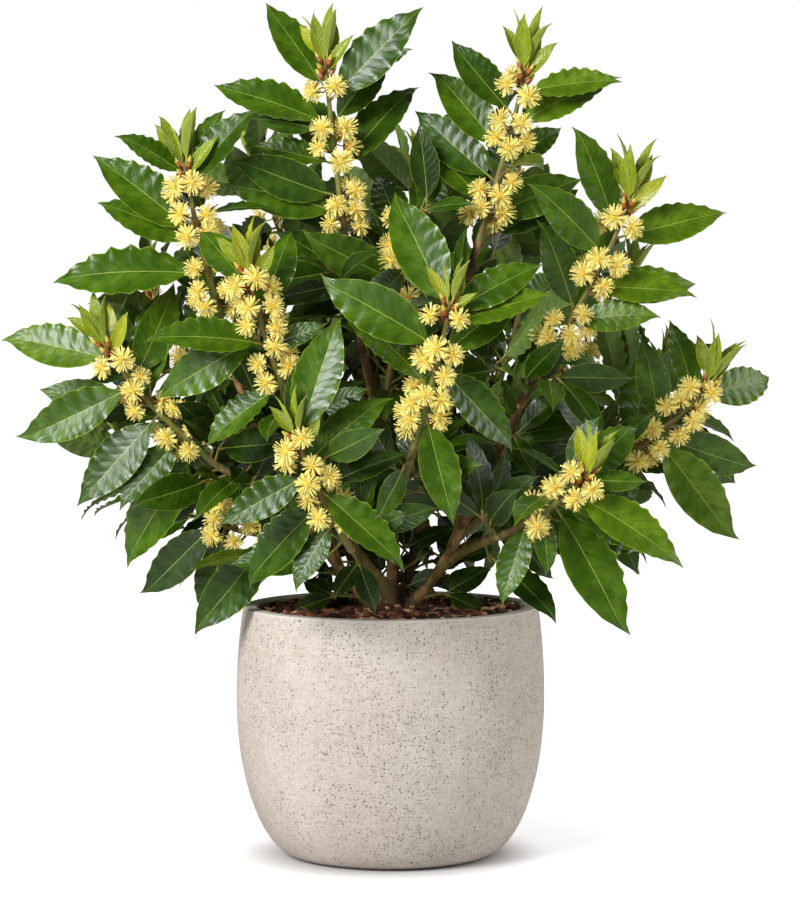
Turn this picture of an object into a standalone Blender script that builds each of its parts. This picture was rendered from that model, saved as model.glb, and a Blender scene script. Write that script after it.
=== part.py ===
"""A bay laurel in flower, grown as a bushy shrub in a round bowl-sided pot.

Metres, +Z up. The origin is the centre of the pot's flat underside, +X is the plant's right and +Y its back.
Stems rise from one clump in the bark mulch, boughs leave the stems, and each limb ends in a leafy shoot.
A shoot is one solid: a twig with leaves, a tuft of young leaves and flower clusters fused to it.
"""

import math
import random
from collections import namedtuple

import bmesh
import bpy
from mathutils import Quaternion, Vector
from mathutils.bvhtree import BVHTree

MM = 0.001
CLEAR = 0.3 * MM  # the gap that every seat and fork keeps
UP = Vector((0, 0, 1))

# The pot: a wall turned round +Z, an ellipse below the belly and a shallow curve above it
POT_HEIGHT = 214 * MM
BELLY_RADIUS = 132.2 * MM
BELLY_HEIGHT = 135 * MM
FOOT_RADIUS = 80 * MM
RIM_RADIUS = 126.6 * MM
WALL = 13 * MM
LIP_ROUND = 5 * MM
POT_FLOOR = 16 * MM
POT_STEPS = 36
WALL_LEVELS = 3
BELLY_ARCS = 6
LIP_ARCS = 2

# What fills it: compost, and a mound of bark chips with a flat place for the stems' feet
SOIL_TOP = 190 * MM
MULCH_EDGE = 204 * MM
MULCH_TOP = 210 * MM
FEET_RADIUS = 30 * MM
MULCH_RINGS = 3
MULCH_LUMP = 1.6 * MM

# Limbs
LIMB_TIP_RADIUS = 3.1 * MM
FLARE_HEIGHT = 13 * MM
STRAIGHT_END = 4 * MM
HANDLE_SHARE = 0.36  # how far a limb keeps the way that it starts in, of its length
BOUGH_ARRIVING = 0.22  # how far a bough keeps the way that it ends in, of its length
CARRIER_PULL = 0.45  # how much a bough starts along its carrier
BOUGH_THICKNESS = 0.82  # of its carrier's
START_SAG = 0.12  # how much a twig starts below the line to its tip
TIP_LIFT = 0.35  # how much it turns up to the light at its tip
STEM_SEGMENTS = 9
BOUGH_SEGMENTS = 5
TWIG_SEGMENTS = 3
TWIG_SIDES = 3
TWIG_TIP_RADIUS = 2.0 * MM
SIDE_TWIG_RADIUS = 2.1 * MM

# Leaves
LEAF_WIDTH = 0.38  # of the length
LEAF_THICKNESS = 0.015  # of the length
PETIOLE_RADIUS = 0.8 * MM
LEAF_STATIONS = ((0.30, 0.93), (0.66, 0.76))  # place along the blade, share of its half width
YOUNG_STATIONS = ((0.45, 1.0),)
LEAF_LENGTHS = (78 * MM, 112 * MM)
PLACED_LENGTH = 1.12  # a placed leaf's length over its blade's, for the stalk between twig and blade
GOLDEN_ANGLE = math.radians(137.5)
LEAF_CLEAR = 0.6 * MM  # the room that a leaf keeps from other leaves and limbs
LOWEST_LEAF = 150 * MM
CROWN_RADIUS = 338 * MM
LEAF_TRIES = 7
FRONT_LEAN = 0.45  # how far a spiral leaf of a front shoot may turn to the front, as a cosine

# Tufts and flowers
TUFT_ANGLES = (-33, -11, 12, 33)  # degrees from the shoot's direction, seen from its front
TUFT_PULL = 0.8  # how much a tuft turns up
UMBEL_REACH = 23 * MM
UMBEL_MIDDLE = 0.62  # the widest place, as a share of the reach
UMBEL_HEAD = 0.35  # where the part that stands clear of the twig starts, as a share of the reach
UMBEL_PLACES = (0.15, 0.36, 0.44, 0.67, 0.75, 0.84)  # shares down the twig: three whorls with bare wood between
UMBEL_RADIUS = 10 * MM
UMBEL_SIDES = 4

Shoot = namedtuple("Shoot", "base tip tuft leaves spiral umbels side_twigs", defaults=((), 12, 5, 1))

# Each leafy shoot: where its twig starts and ends and how tall its tuft is, in mm. A leaf that is placed by hand has
# its place down the twig (0 at the tip), its direction as a clock hour seen from the shoot's front, and its
# length in mm. The others follow the spiral rule.
SHOOTS = {
    "crown_left": Shoot(
        (-34, -60, 502), (-54, -70, 675), 46,
        ((0.16, 10.9, 86), (0.20, 1.5, 96), (0.32, 9.8, 98), (0.50, 9.6, 66), (0.55, 1.2, 98), (0.74, 9.5, 88)),
        5, 6, 0,
    ),
    "crown_right": Shoot(
        (74, -55, 525), (112, -70, 668), 50,
        ((0.28, 10.8, 76), (0.34, 1.9, 90), (0.54, 1.9, 56), (0.66, 10.5, 84), (0.80, 10.6, 72), (0.88, 2.2, 82)),
        5, 6, 0,
    ),
    "shoulder_left": Shoot(
        (-139, -85, 454), (-169, -98, 588), 48,
        ((0.14, 0.7, 66), (0.46, 10.4, 104), (0.68, 9.2, 124), (0.08, 10.1, 58)),
        5, 6, 0,
    ),
    "front_left": Shoot(
        (-85, -150, 401), (-113, -180, 500), 46,
        ((0.50, 8.1, 96), (0.94, 7.9, 74), (0.60, 2.3, 45)),
        4, 5, 0,
    ),
    "side_left": Shoot(
        (-153, -60, 344), (-238, -76, 440), 45,
        ((0.14, 9.5, 92), (0.34, 8.3, 98), (0.58, 7.5, 94), (0.78, 7.4, 72), (0.92, 7.1, 112)),
        5, 6, 0,
    ),
    "low_front": Shoot(
        (-37, -186, 288), (-73, -226, 371), 38,
        ((0.06, 0.5, 94), (0.26, 1.7, 78), (0.50, 4.2, 82), (0.36, 8.1, 74), (0.62, 7.6, 92), (0.84, 7.1, 56)),
        3, 5, 0,
    ),
    "front": Shoot(
        (20, -196, 362), (47, -246, 475), 38,
        ((0.08, 11.2, 98), (0.10, 1.9, 80), (0.32, 10.1, 99), (0.42, 4.5, 84), (0.76, 5.5, 82)),
        4, 5, 0,
    ),
    "shoulder_right": Shoot(
        (123, -76, 414), (197, -102, 559), 52,
        ((0.18, 11.5, 83), (0.22, 2.5, 92), (0.50, 2.95, 80), (0.70, 2.7, 64), (0.64, 11.4, 72)),
        5, 6, 0,
    ),
    "side_right": Shoot(
        (188, -52, 338), (268, -62, 409), 47,
        ((0.20, 11.6, 64), (0.56, 11.6, 73), (0.26, 3.6, 90), (0.62, 4.7, 102), (0.84, 6.3, 48)),
        4, 5, 0,
    ),
    "low_right": Shoot(
        (105, -150, 294), (157, -190, 339), 44,
        ((0.10, 3.0, 48), (0.30, 4.0, 96), (0.52, 4.9, 104), (0.70, 5.9, 45), (0.90, 6.7, 60)),
        3, 5, 0,
    ),
    "under_left": Shoot(
        (-90, -44, 276), (-148, -58, 292), 30,
        ((0.06, 7.5, 86), (0.18, 6.4, 82), (0.50, 8.0, 82), (0.80, 7.2, 48)),
        4, 2, 0,
    ),
    "under_right": Shoot((118, 30, 278), (190, 48, 322), 32, (), 10, 2, 0),
    "inner_front": Shoot((4, -45, 440), (14, -62, 556), 40, (), 11, 3, 1),
    "inner_left": Shoot((-70, 6, 388), (-104, 10, 486), 36, (), 11, 0, 1),
    "inner_right": Shoot((84, -8, 378), (112, -14, 478), 36, (), 11, 0, 1),
    "inner_low_left": Shoot((-46, 14, 318), (-84, 22, 400), 34, (), 11, 0, 1),
    "inner_low_right": Shoot((64, 4, 316), (100, 18, 402), 34, (), 11, 0, 1),
    "crown_back": Shoot((16, 52, 478), (26, 72, 590), 44, (), 13, 4, 1),
    "upper_back_left": Shoot((-78, 92, 486), (-118, 128, 602), 46, (), 12, 4, 1),
    "upper_back_right": Shoot((86, 118, 478), (112, 160, 590), 46, (), 12, 4, 1),
    "side_back_left": Shoot((-150, 70, 392), (-216, 98, 490), 44, (), 12, 4, 1),
    "side_back_right": Shoot((150, 84, 396), (214, 118, 494), 44, (), 12, 4, 1),
    "back": Shoot((-16, 160, 410), (-26, 222, 512), 44, (), 12, 4, 1),
    "low_left": Shoot((-160, 36, 290), (-232, 52, 352), 40, (), 10, 3, 1),
    "low_right_side": Shoot((182, 60, 346), (240, 78, 416), 40, (), 10, 3, 1),
    "low_back_left": Shoot((-112, 132, 304), (-160, 190, 378), 40, (), 11, 3, 1),
    "low_back": Shoot((22, 176, 300), (34, 252, 374), 40, (), 11, 3, 1),
    "low_back_right": Shoot((128, 142, 300), (180, 200, 374), 40, (), 11, 3, 1),
}

# Stems fan out from the mulch: the shoot that each ends in, its foot in mm, its thickness and its root flare in mm, and
# the way that it leans
STEMS = {
    "trunk": ("crown_left", (0, 0), 5.4, 4.2, (0.10, -0.05, 1.0)),
    "left": ("shoulder_left", (-19, -4), 4.6, 1.7, (-0.78, -0.10, 1.0)),
    "right": ("shoulder_right", (18, -4), 4.6, 1.5, (0.88, -0.10, 1.0)),
    "back_right": ("crown_right", (8.5, 14.5), 4.4, 1.2, (0.30, 0.10, 1.0)),
    "back_left": ("crown_back", (-9, 14), 4.4, 1.2, (-0.30, 0.10, 1.0)),
}

# Boughs: the shoot that each ends in, the limb that carries it and how far up that limb it leaves
BOUGHS = (
    ("front_left", "crown_left", 0.05),
    ("low_front", "front_left", 0.30),
    ("front", "crown_left", 0.20),
    ("inner_front", "crown_left", 0.50),
    ("side_left", "shoulder_left", 0.38),
    ("under_left", "shoulder_left", 0.24),
    ("inner_low_left", "shoulder_left", 0.20),
    ("inner_left", "shoulder_left", 0.56),
    ("side_right", "shoulder_right", 0.36),
    ("low_right", "shoulder_right", 0.17),
    ("under_right", "shoulder_right", 0.24),
    ("inner_low_right", "shoulder_right", 0.30),
    ("inner_right", "crown_right", 0.40),
    ("upper_back_right", "crown_right", 0.55),
    ("side_back_right", "crown_right", 0.30),
    ("low_right_side", "side_right", 0.40),
    ("low_back_right", "side_back_right", 0.30),
    ("upper_back_left", "crown_back", 0.56),
    ("back", "crown_back", 0.40),
    ("side_back_left", "crown_back", 0.24),
    ("low_left", "side_back_left", 0.30),
    ("low_back_left", "back", 0.22),
    ("low_back", "back", 0.42),
)
BOUGH_LEANS = {"front_left": (-0.95, -0.30, 1.0)}  # the way that a bough leaves its carrier, where it has its own

BARK_BROWN = (0.20, 0.15, 0.10)
YOUNG_BARK = (0.24, 0.23, 0.09)
LEAF_GREEN = (0.06, 0.16, 0.035)
POT_GREY = (0.62, 0.57, 0.50)
SOIL_BROWN = (0.05, 0.03, 0.02)
CHIP_BROWN = (0.11, 0.06, 0.035)


# Scene, materials and collections

for leftover in list(bpy.data.objects):
    bpy.data.objects.remove(leftover)

parts = bpy.data.collections.new("bay_laurel_in_pot")
cutters = bpy.data.collections.new("cutters")
for collection in (parts, cutters):
    bpy.context.scene.collection.children.link(collection)


def principled(name, colour, roughness):
    """A plain Principled material in the part's own colour."""
    material = bpy.data.materials.new(name)
    material.use_nodes = True
    shader = material.node_tree.nodes["Principled BSDF"]
    shader.inputs["Base Color"].default_value = (*colour, 1)
    shader.inputs["Roughness"].default_value = roughness
    return material


def add_object(name, mesh, collection, colour=None, roughness=0.6):
    piece = bpy.data.objects.new(name, mesh)
    collection.objects.link(piece)
    if colour:
        piece.data.materials.clear()
        piece.data.materials.append(principled(name, colour, roughness))
    return piece


def evaluated_mesh(piece):
    """The piece's mesh with its modifiers applied and its caps welded."""
    bpy.context.view_layer.update()
    mesh = bpy.data.meshes.new_from_object(piece.evaluated_get(bpy.context.evaluated_depsgraph_get()))
    shape = bmesh.new()
    shape.from_mesh(mesh)
    bmesh.ops.remove_doubles(shape, verts=shape.verts, dist=0.001 * MM)
    bmesh.ops.recalc_face_normals(shape, faces=shape.faces)
    shape.to_mesh(mesh)
    shape.free()
    return mesh


# The pot and what fills it

def pot_radius(z):
    """The pot's outer radius at a height."""
    if z < BELLY_HEIGHT:
        below = 1 - z / BELLY_HEIGHT
        return FOOT_RADIUS + (BELLY_RADIUS - FOOT_RADIUS) * math.sqrt(1 - below * below)
    above = (z - BELLY_HEIGHT) / (POT_HEIGHT - BELLY_HEIGHT)
    return BELLY_RADIUS - (BELLY_RADIUS - RIM_RADIUS) * above * above


def wall_inside():
    """Radius and height up the inside of the wall, from the floor to just under the lip."""
    high = POT_HEIGHT - LIP_ROUND
    levels = [POT_FLOOR + (high - POT_FLOOR) * k / WALL_LEVELS for k in range(WALL_LEVELS + 1)]
    return [(pot_radius(z) - WALL, z) for z in levels]


def inside_at(height):
    """The radius of the turned inside at a height, along the straight runs between its levels."""
    wall = wall_inside()
    for (low_radius, low), (high_radius, high) in zip(wall, wall[1:]):
        if height <= high:
            return low_radius + (high_radius - low_radius) * (height - low) / (high - low)
    return wall[-1][0]


def lip_arc(centre_radius, start, end):
    """Points round one edge of the rim."""
    angles = [math.radians(start + (end - start) * k / LIP_ARCS) for k in range(LIP_ARCS + 1)]
    centre_height = POT_HEIGHT - LIP_ROUND
    return [(centre_radius + LIP_ROUND * math.cos(a), centre_height + LIP_ROUND * math.sin(a)) for a in angles]


def turned(name, profile, colour, roughness):
    """A profile of radius and height turned round +Z."""
    mesh = bpy.data.meshes.new(name)
    points = [(radius, 0, height) for radius, height in profile]
    mesh.from_pydata(points, [(k, k + 1) for k in range(len(points) - 1)], [])
    piece = add_object(name, mesh, parts, colour, roughness)
    screw = piece.modifiers.new("turn", "SCREW")
    screw.steps = screw.render_steps = POT_STEPS
    screw.use_merge_vertices = True
    screw.merge_threshold = 0.01 * MM
    screw.use_smooth_shade = True
    return piece


def make_pot():
    inside = wall_inside()
    rim = lip_arc(inside[-1][0] + LIP_ROUND, 180, 90)[1:] + lip_arc(RIM_RADIUS - LIP_ROUND, 90, 0)
    above = [(pot_radius(z), z) for z in (POT_HEIGHT - 4 * LIP_ROUND, (POT_HEIGHT + BELLY_HEIGHT) / 2)]
    turns = [math.pi / 2 * k / BELLY_ARCS for k in range(BELLY_ARCS, -1, -1)]
    below = [
        (FOOT_RADIUS + (BELLY_RADIUS - FOOT_RADIUS) * math.sin(a), BELLY_HEIGHT * (1 - math.cos(a)))
        for a in turns
    ]
    turned("pot", [(0, POT_FLOOR)] + inside + rim + above + below + [(0, 0)], POT_GREY, 0.8)


def make_soil():
    heights = [z for _, z in wall_inside() if POT_FLOOR < z < SOIL_TOP]
    levels = [SOIL_TOP] + heights[::-1] + [POT_FLOOR + CLEAR]
    wall = [(inside_at(z) - 1.5 * CLEAR, z) for z in levels]
    turned("soil", [(0, SOIL_TOP)] + wall + [(0, POT_FLOOR + CLEAR)], SOIL_BROWN, 0.95)


def make_mulch():
    """A low mound, flat under the stems and lumpy round them."""
    edge = inside_at(MULCH_EDGE + MULCH_LUMP) - 1.5 * CLEAR
    spread = [k / MULCH_RINGS for k in range(MULCH_RINGS + 1)]
    top = [
        (FEET_RADIUS + (edge - FEET_RADIUS) * share, MULCH_TOP + (MULCH_EDGE - MULCH_TOP) * share ** 1.5)
        for share in spread
    ]
    profile = [(0, MULCH_TOP)] + top + [(edge, SOIL_TOP + CLEAR), (0, SOIL_TOP + CLEAR)]
    piece = turned("bark_mulch", profile, CHIP_BROWN, 0.9)
    mesh = evaluated_mesh(piece)
    piece.modifiers.clear()
    piece.data = mesh
    mesh.materials.clear()
    mesh.materials.append(bpy.data.materials["bark_mulch"])
    chance = random.Random("bark")
    for vertex in mesh.vertices:
        radius = math.hypot(vertex.co.x, vertex.co.y)
        if vertex.co.z > MULCH_EDGE - MM and radius > FEET_RADIUS + MM:
            vertex.co.z += chance.uniform(-MULCH_LUMP, MULCH_LUMP)


# Curves and tubes

def bezier(p0, p1, p2, p3, count):
    points = []
    for k in range(count + 1):
        t = k / count
        s = 1 - t
        points.append(p0 * s**3 + p1 * (3 * s * s * t) + p2 * (3 * s * t * t) + p3 * t**3)
    return points


def limb_path(start, start_way, end, end_way, count, lean=None, arriving=HANDLE_SHARE):
    """A smooth path between short straight runs, so that its end faces are square. A lean bends it past the first."""
    first = start + start_way * STRAIGHT_END
    last = end - end_way * STRAIGHT_END
    length = (last - first).length
    leave = first + (lean or start_way) * HANDLE_SHARE * length
    return [start] + bezier(first, leave, last - end_way * arriving * length, last, count) + [end]


def point_on(points, share):
    """The point and direction at a share of a path's length."""
    lengths = [(b - a).length for a, b in zip(points, points[1:])]
    left = share * sum(lengths)
    for a, b, length in zip(points, points[1:], lengths):
        if left <= length:
            return a.lerp(b, left / length), (b - a).normalized()
        left -= length
    return points[-1].copy(), (points[-1] - points[-2]).normalized()


def tube(name, points, radii, roundness, collection):
    """A tapering tube along a path, as a closed mesh with 4 sides, and 2 more for each step of roundness."""
    curve = bpy.data.curves.new(name, "CURVE")
    curve.dimensions = "3D"
    curve.bevel_depth = 1.0
    curve.bevel_resolution = roundness
    curve.use_fill_caps = True
    spline = curve.splines.new("POLY")
    spline.points.add(len(points) - 1)
    for place, point, radius in zip(spline.points, points, radii):
        place.co = (*point, 1)
        place.radius = radius
    guide = bpy.data.objects.new(name + "_path", curve)
    collection.objects.link(guide)
    mesh = evaluated_mesh(guide)
    bpy.data.objects.remove(guide)
    mesh.name = name
    return mesh


def loft(rings, apex=None, start_apex=None):
    """A closed mesh through rings of equal count, ending in a cap or at a point."""
    shape = bmesh.new()
    rows = [[shape.verts.new(point) for point in ring] for ring in rings]
    count = len(rows[0])
    for low, high in zip(rows, rows[1:]):
        for k in range(count):
            shape.faces.new((low[k], low[(k + 1) % count], high[(k + 1) % count], high[k]))
    for row, point in ((rows[0], start_apex), (rows[-1], apex)):
        if point is None:
            shape.faces.new(row)
            continue
        end = shape.verts.new(point)
        for k in range(count):
            shape.faces.new((row[k], row[(k + 1) % count], end))
    bmesh.ops.recalc_face_normals(shape, faces=shape.faces)
    bmesh.ops.triangulate(shape, faces=shape.faces)
    return shape


def as_mesh(shape, name):
    mesh = bpy.data.meshes.new(name)
    shape.to_mesh(mesh)
    shape.free()
    return mesh


# What is already placed, for keeping a new leaf clear of it

placed = []  # owner, lowest corner, highest corner, surface


def corners_of(points):
    low = Vector(min(p[axis] for p in points) for axis in range(3))
    high = Vector(max(p[axis] for p in points) for axis in range(3))
    return low, high


def remember(owner, mesh):
    points = [vertex.co.copy() for vertex in mesh.vertices]
    faces = [tuple(polygon.vertices) for polygon in mesh.polygons]
    placed.append((owner, *corners_of(points), BVHTree.FromPolygons(points, faces)))


def touches(shape, owners=None, skip=()):
    """Whether a bmesh meets what is placed, either of some owners or of all but some."""
    low, high = corners_of([vertex.co for vertex in shape.verts])
    surface = BVHTree.FromBMesh(shape)
    for owner, lowest, highest, other in placed:
        if owner in skip or (owners and owner not in owners):
            continue
        if any(low[axis] > highest[axis] or high[axis] < lowest[axis] for axis in range(3)):
            continue
        if surface.overlap(other):
            return True
    return False


# Limbs

paths = {}  # shoot name: its limb's points, radii and roundness


def shoot_ways(shoot):
    """A twig's direction at its start and at its tip, where it turns up to the light."""
    along = (Vector(shoot.tip) - Vector(shoot.base)).normalized()
    return (along - START_SAG * UP).normalized(), (along + TIP_LIFT * UP).normalized()


def make_stem(name, shoot_name, foot, thickness, flare, lean):
    shoot = SHOOTS[shoot_name]
    start = Vector((foot[0] * MM, foot[1] * MM, MULCH_TOP + CLEAR))
    end = Vector(shoot.base) * MM
    points = limb_path(start, UP, end, shoot_ways(shoot)[0], STEM_SEGMENTS, Vector(lean).normalized())
    last = len(points) - 1
    radii = [
        LIMB_TIP_RADIUS
        + (thickness * MM - LIMB_TIP_RADIUS) * (1 - k / last)
        + flare * MM * math.exp(-(point.z - start.z) / FLARE_HEIGHT)
        for k, point in enumerate(points)
    ]
    paths[shoot_name] = (points, radii, 1)
    mesh = tube("stem_" + name, points, radii, 1, parts)
    add_object("stem_" + name, mesh, parts, BARK_BROWN, 0.85)
    remember("stem_" + name, mesh)


def make_bough(shoot_name, carrier, share):
    """A bough leaves its carrier's middle line and is cut clear of the carrier by a fatter copy of it."""
    shoot = SHOOTS[shoot_name]
    points, radii, roundness = paths[carrier]
    start, way = point_on(points, share)
    end = Vector(shoot.base) * MM
    start_way = (way * CARRIER_PULL + (end - start).normalized()).normalized()
    if shoot_name in BOUGH_LEANS:
        start_way = Vector(BOUGH_LEANS[shoot_name]).normalized()
    path = limb_path(start, start_way, end, shoot_ways(shoot)[0], BOUGH_SEGMENTS, arriving=BOUGH_ARRIVING)
    carrier_radius = radii[min(int(share * len(radii)), len(radii) - 1)]
    thick = max(BOUGH_THICKNESS * carrier_radius, LIMB_TIP_RADIUS)
    last = len(path) - 1
    widths = [LIMB_TIP_RADIUS + (thick - LIMB_TIP_RADIUS) * (1 - k / last) for k in range(last + 1)]
    paths[shoot_name] = (path, widths, 0)
    name = "bough_" + shoot_name
    bough = add_object(name, tube(name, path, widths, 0, parts), parts)
    gap = CLEAR / math.cos(math.pi / (4 + 2 * roundness))
    fatter = tube("cutter", points, [radius + gap for radius in radii], roundness, cutters)
    cutter = add_object("cutter_" + shoot_name, fatter, cutters)
    cutter.hide_render = True
    cutter.display_type = "WIRE"
    cut = bough.modifiers.new("clear of " + carrier, "BOOLEAN")
    cut.object = cutter
    cut.solver = "EXACT"
    mesh = evaluated_mesh(bough)
    bpy.data.objects.remove(bough)
    bpy.data.objects.remove(cutter)
    add_object(name, largest_piece(mesh), parts, YOUNG_BARK, 0.75)
    remember(name, mesh)


def largest_piece(mesh):
    """The mesh with all but its largest connected piece dropped."""
    shape = bmesh.new()
    shape.from_mesh(mesh)
    left = set(shape.verts)
    pieces = []
    while left:
        front = [left.pop()]
        piece = set(front)
        while front:
            vertex = front.pop()
            for edge in vertex.link_edges:
                other = edge.other_vert(vertex)
                if other in left:
                    left.remove(other)
                    piece.add(other)
                    front.append(other)
        pieces.append(piece)
    pieces.sort(key=len)
    for piece in pieces[:-1]:
        bmesh.ops.delete(shape, geom=list(piece), context="VERTS")
    shape.to_mesh(mesh)
    shape.free()
    return mesh


# Leaves

Leaf = namedtuple("Leaf", "root way normal length width curl")


def front_of(shoot):
    """Which way a shoot faces: to the front for the front shoots, and outwards for the others."""
    x, y, _ = shoot.tip
    if shoot.leaves:
        return Vector((0, -1, 0))
    return Vector((x, y, 0)).normalized()


def clock_way(hour, front, lean):
    """A direction by its clock hour as seen from the front, leaning out of that plane by an angle."""
    angle = math.radians(30 * hour)
    right = UP.cross(front)
    return math.cos(lean) * (math.sin(angle) * right + math.cos(angle) * UP) + math.sin(lean) * front


def upper_side(way, front, roll):
    """The normal of a blade that turns its upper side to the light and to the front."""
    light = 0.45 * UP + 0.9 * front
    normal = (light - light.dot(way) * way).normalized()
    return Quaternion(way, roll) @ normal


def leaf_frame(leaf, t):
    """The midrib's point, its direction and the blade's normal at a share of the length: the blade bends in an arc."""
    turn = leaf.curl * t
    ahead = leaf.length * math.sin(turn) / leaf.curl
    down = leaf.length * (1 - math.cos(turn)) / leaf.curl
    point = leaf.root + leaf.way * ahead - leaf.normal * down
    way = leaf.way * math.cos(turn) - leaf.normal * math.sin(turn)
    normal = leaf.normal * math.cos(turn) + leaf.way * math.sin(turn)
    return point, way, normal


def leaf_shape(leaf, stations=LEAF_STATIONS, grow=0.0, start=0.0):
    """A blade of three-sided sections, flat above with its keel below; grown for the room that it keeps."""
    rings = []
    for t, share in ((start, 0.0), *stations):
        point, way, normal = leaf_frame(leaf, t)
        across = way.cross(normal)
        half = max(leaf.width / 2 * share, PETIOLE_RADIUS) + grow
        keel = (LEAF_THICKNESS * leaf.length if share else PETIOLE_RADIUS) + grow
        ring = [point - across * half, point - normal * keel, point + across * half]
        if grow:
            ring.append(point + normal * grow)
        rings.append(ring)
    tip, way, _ = leaf_frame(leaf, 1)
    return loft(rings, apex=tip + way * grow)


def fits(leaf, owner, stations=LEAF_STATIONS):
    """Whether a leaf keeps clear of the limbs, the pot and the leaves of its own and other shoots."""
    tip = leaf_frame(leaf, 1)[0]
    if tip.z < LOWEST_LEAF or math.hypot(tip.x, tip.y) > CROWN_RADIUS:
        return False
    whole = leaf_shape(leaf, stations, LEAF_CLEAR)
    blocked = touches(whole, skip=(owner + "_twig", owner + "_leaf"))
    whole.free()
    if blocked:
        return False
    blade = leaf_shape(leaf, stations, LEAF_CLEAR, start=0.16)
    blocked = touches(blade, owners=(owner + "_leaf",))
    blade.free()
    return not blocked


def ring_round(centre, way, across, radius, sides):
    """Points round a direction, from a first one across it."""
    return [centre + (Quaternion(way, 2 * math.pi * k / sides) @ across) * radius for k in range(sides)]


def twig_shape(path, thick, thin, grow=0.0):
    """A three-sided tapering twig."""
    last = len(path) - 1
    across = (path[1] - path[0]).orthogonal().normalized()
    rings = []
    for k, point in enumerate(path):
        way = (path[min(k + 1, last)] - path[max(k - 1, 0)]).normalized()
        across = (across - across.dot(way) * way).normalized()
        rings.append(ring_round(point, way, across, thick + (thin - thick) * k / last + grow, TWIG_SIDES))
    return loft(rings)


def umbel_shape(root, out, start=0.0):
    """A flower cluster and its stalk as one top-shaped solid that widens from the twig's middle line."""
    middle = root + out * UMBEL_MIDDLE * UMBEL_REACH
    ring = ring_round(middle, out, out.orthogonal().normalized(), UMBEL_RADIUS, UMBEL_SIDES)
    return loft([ring], start_apex=root + out * start * UMBEL_REACH, apex=root + out * UMBEL_REACH)


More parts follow.
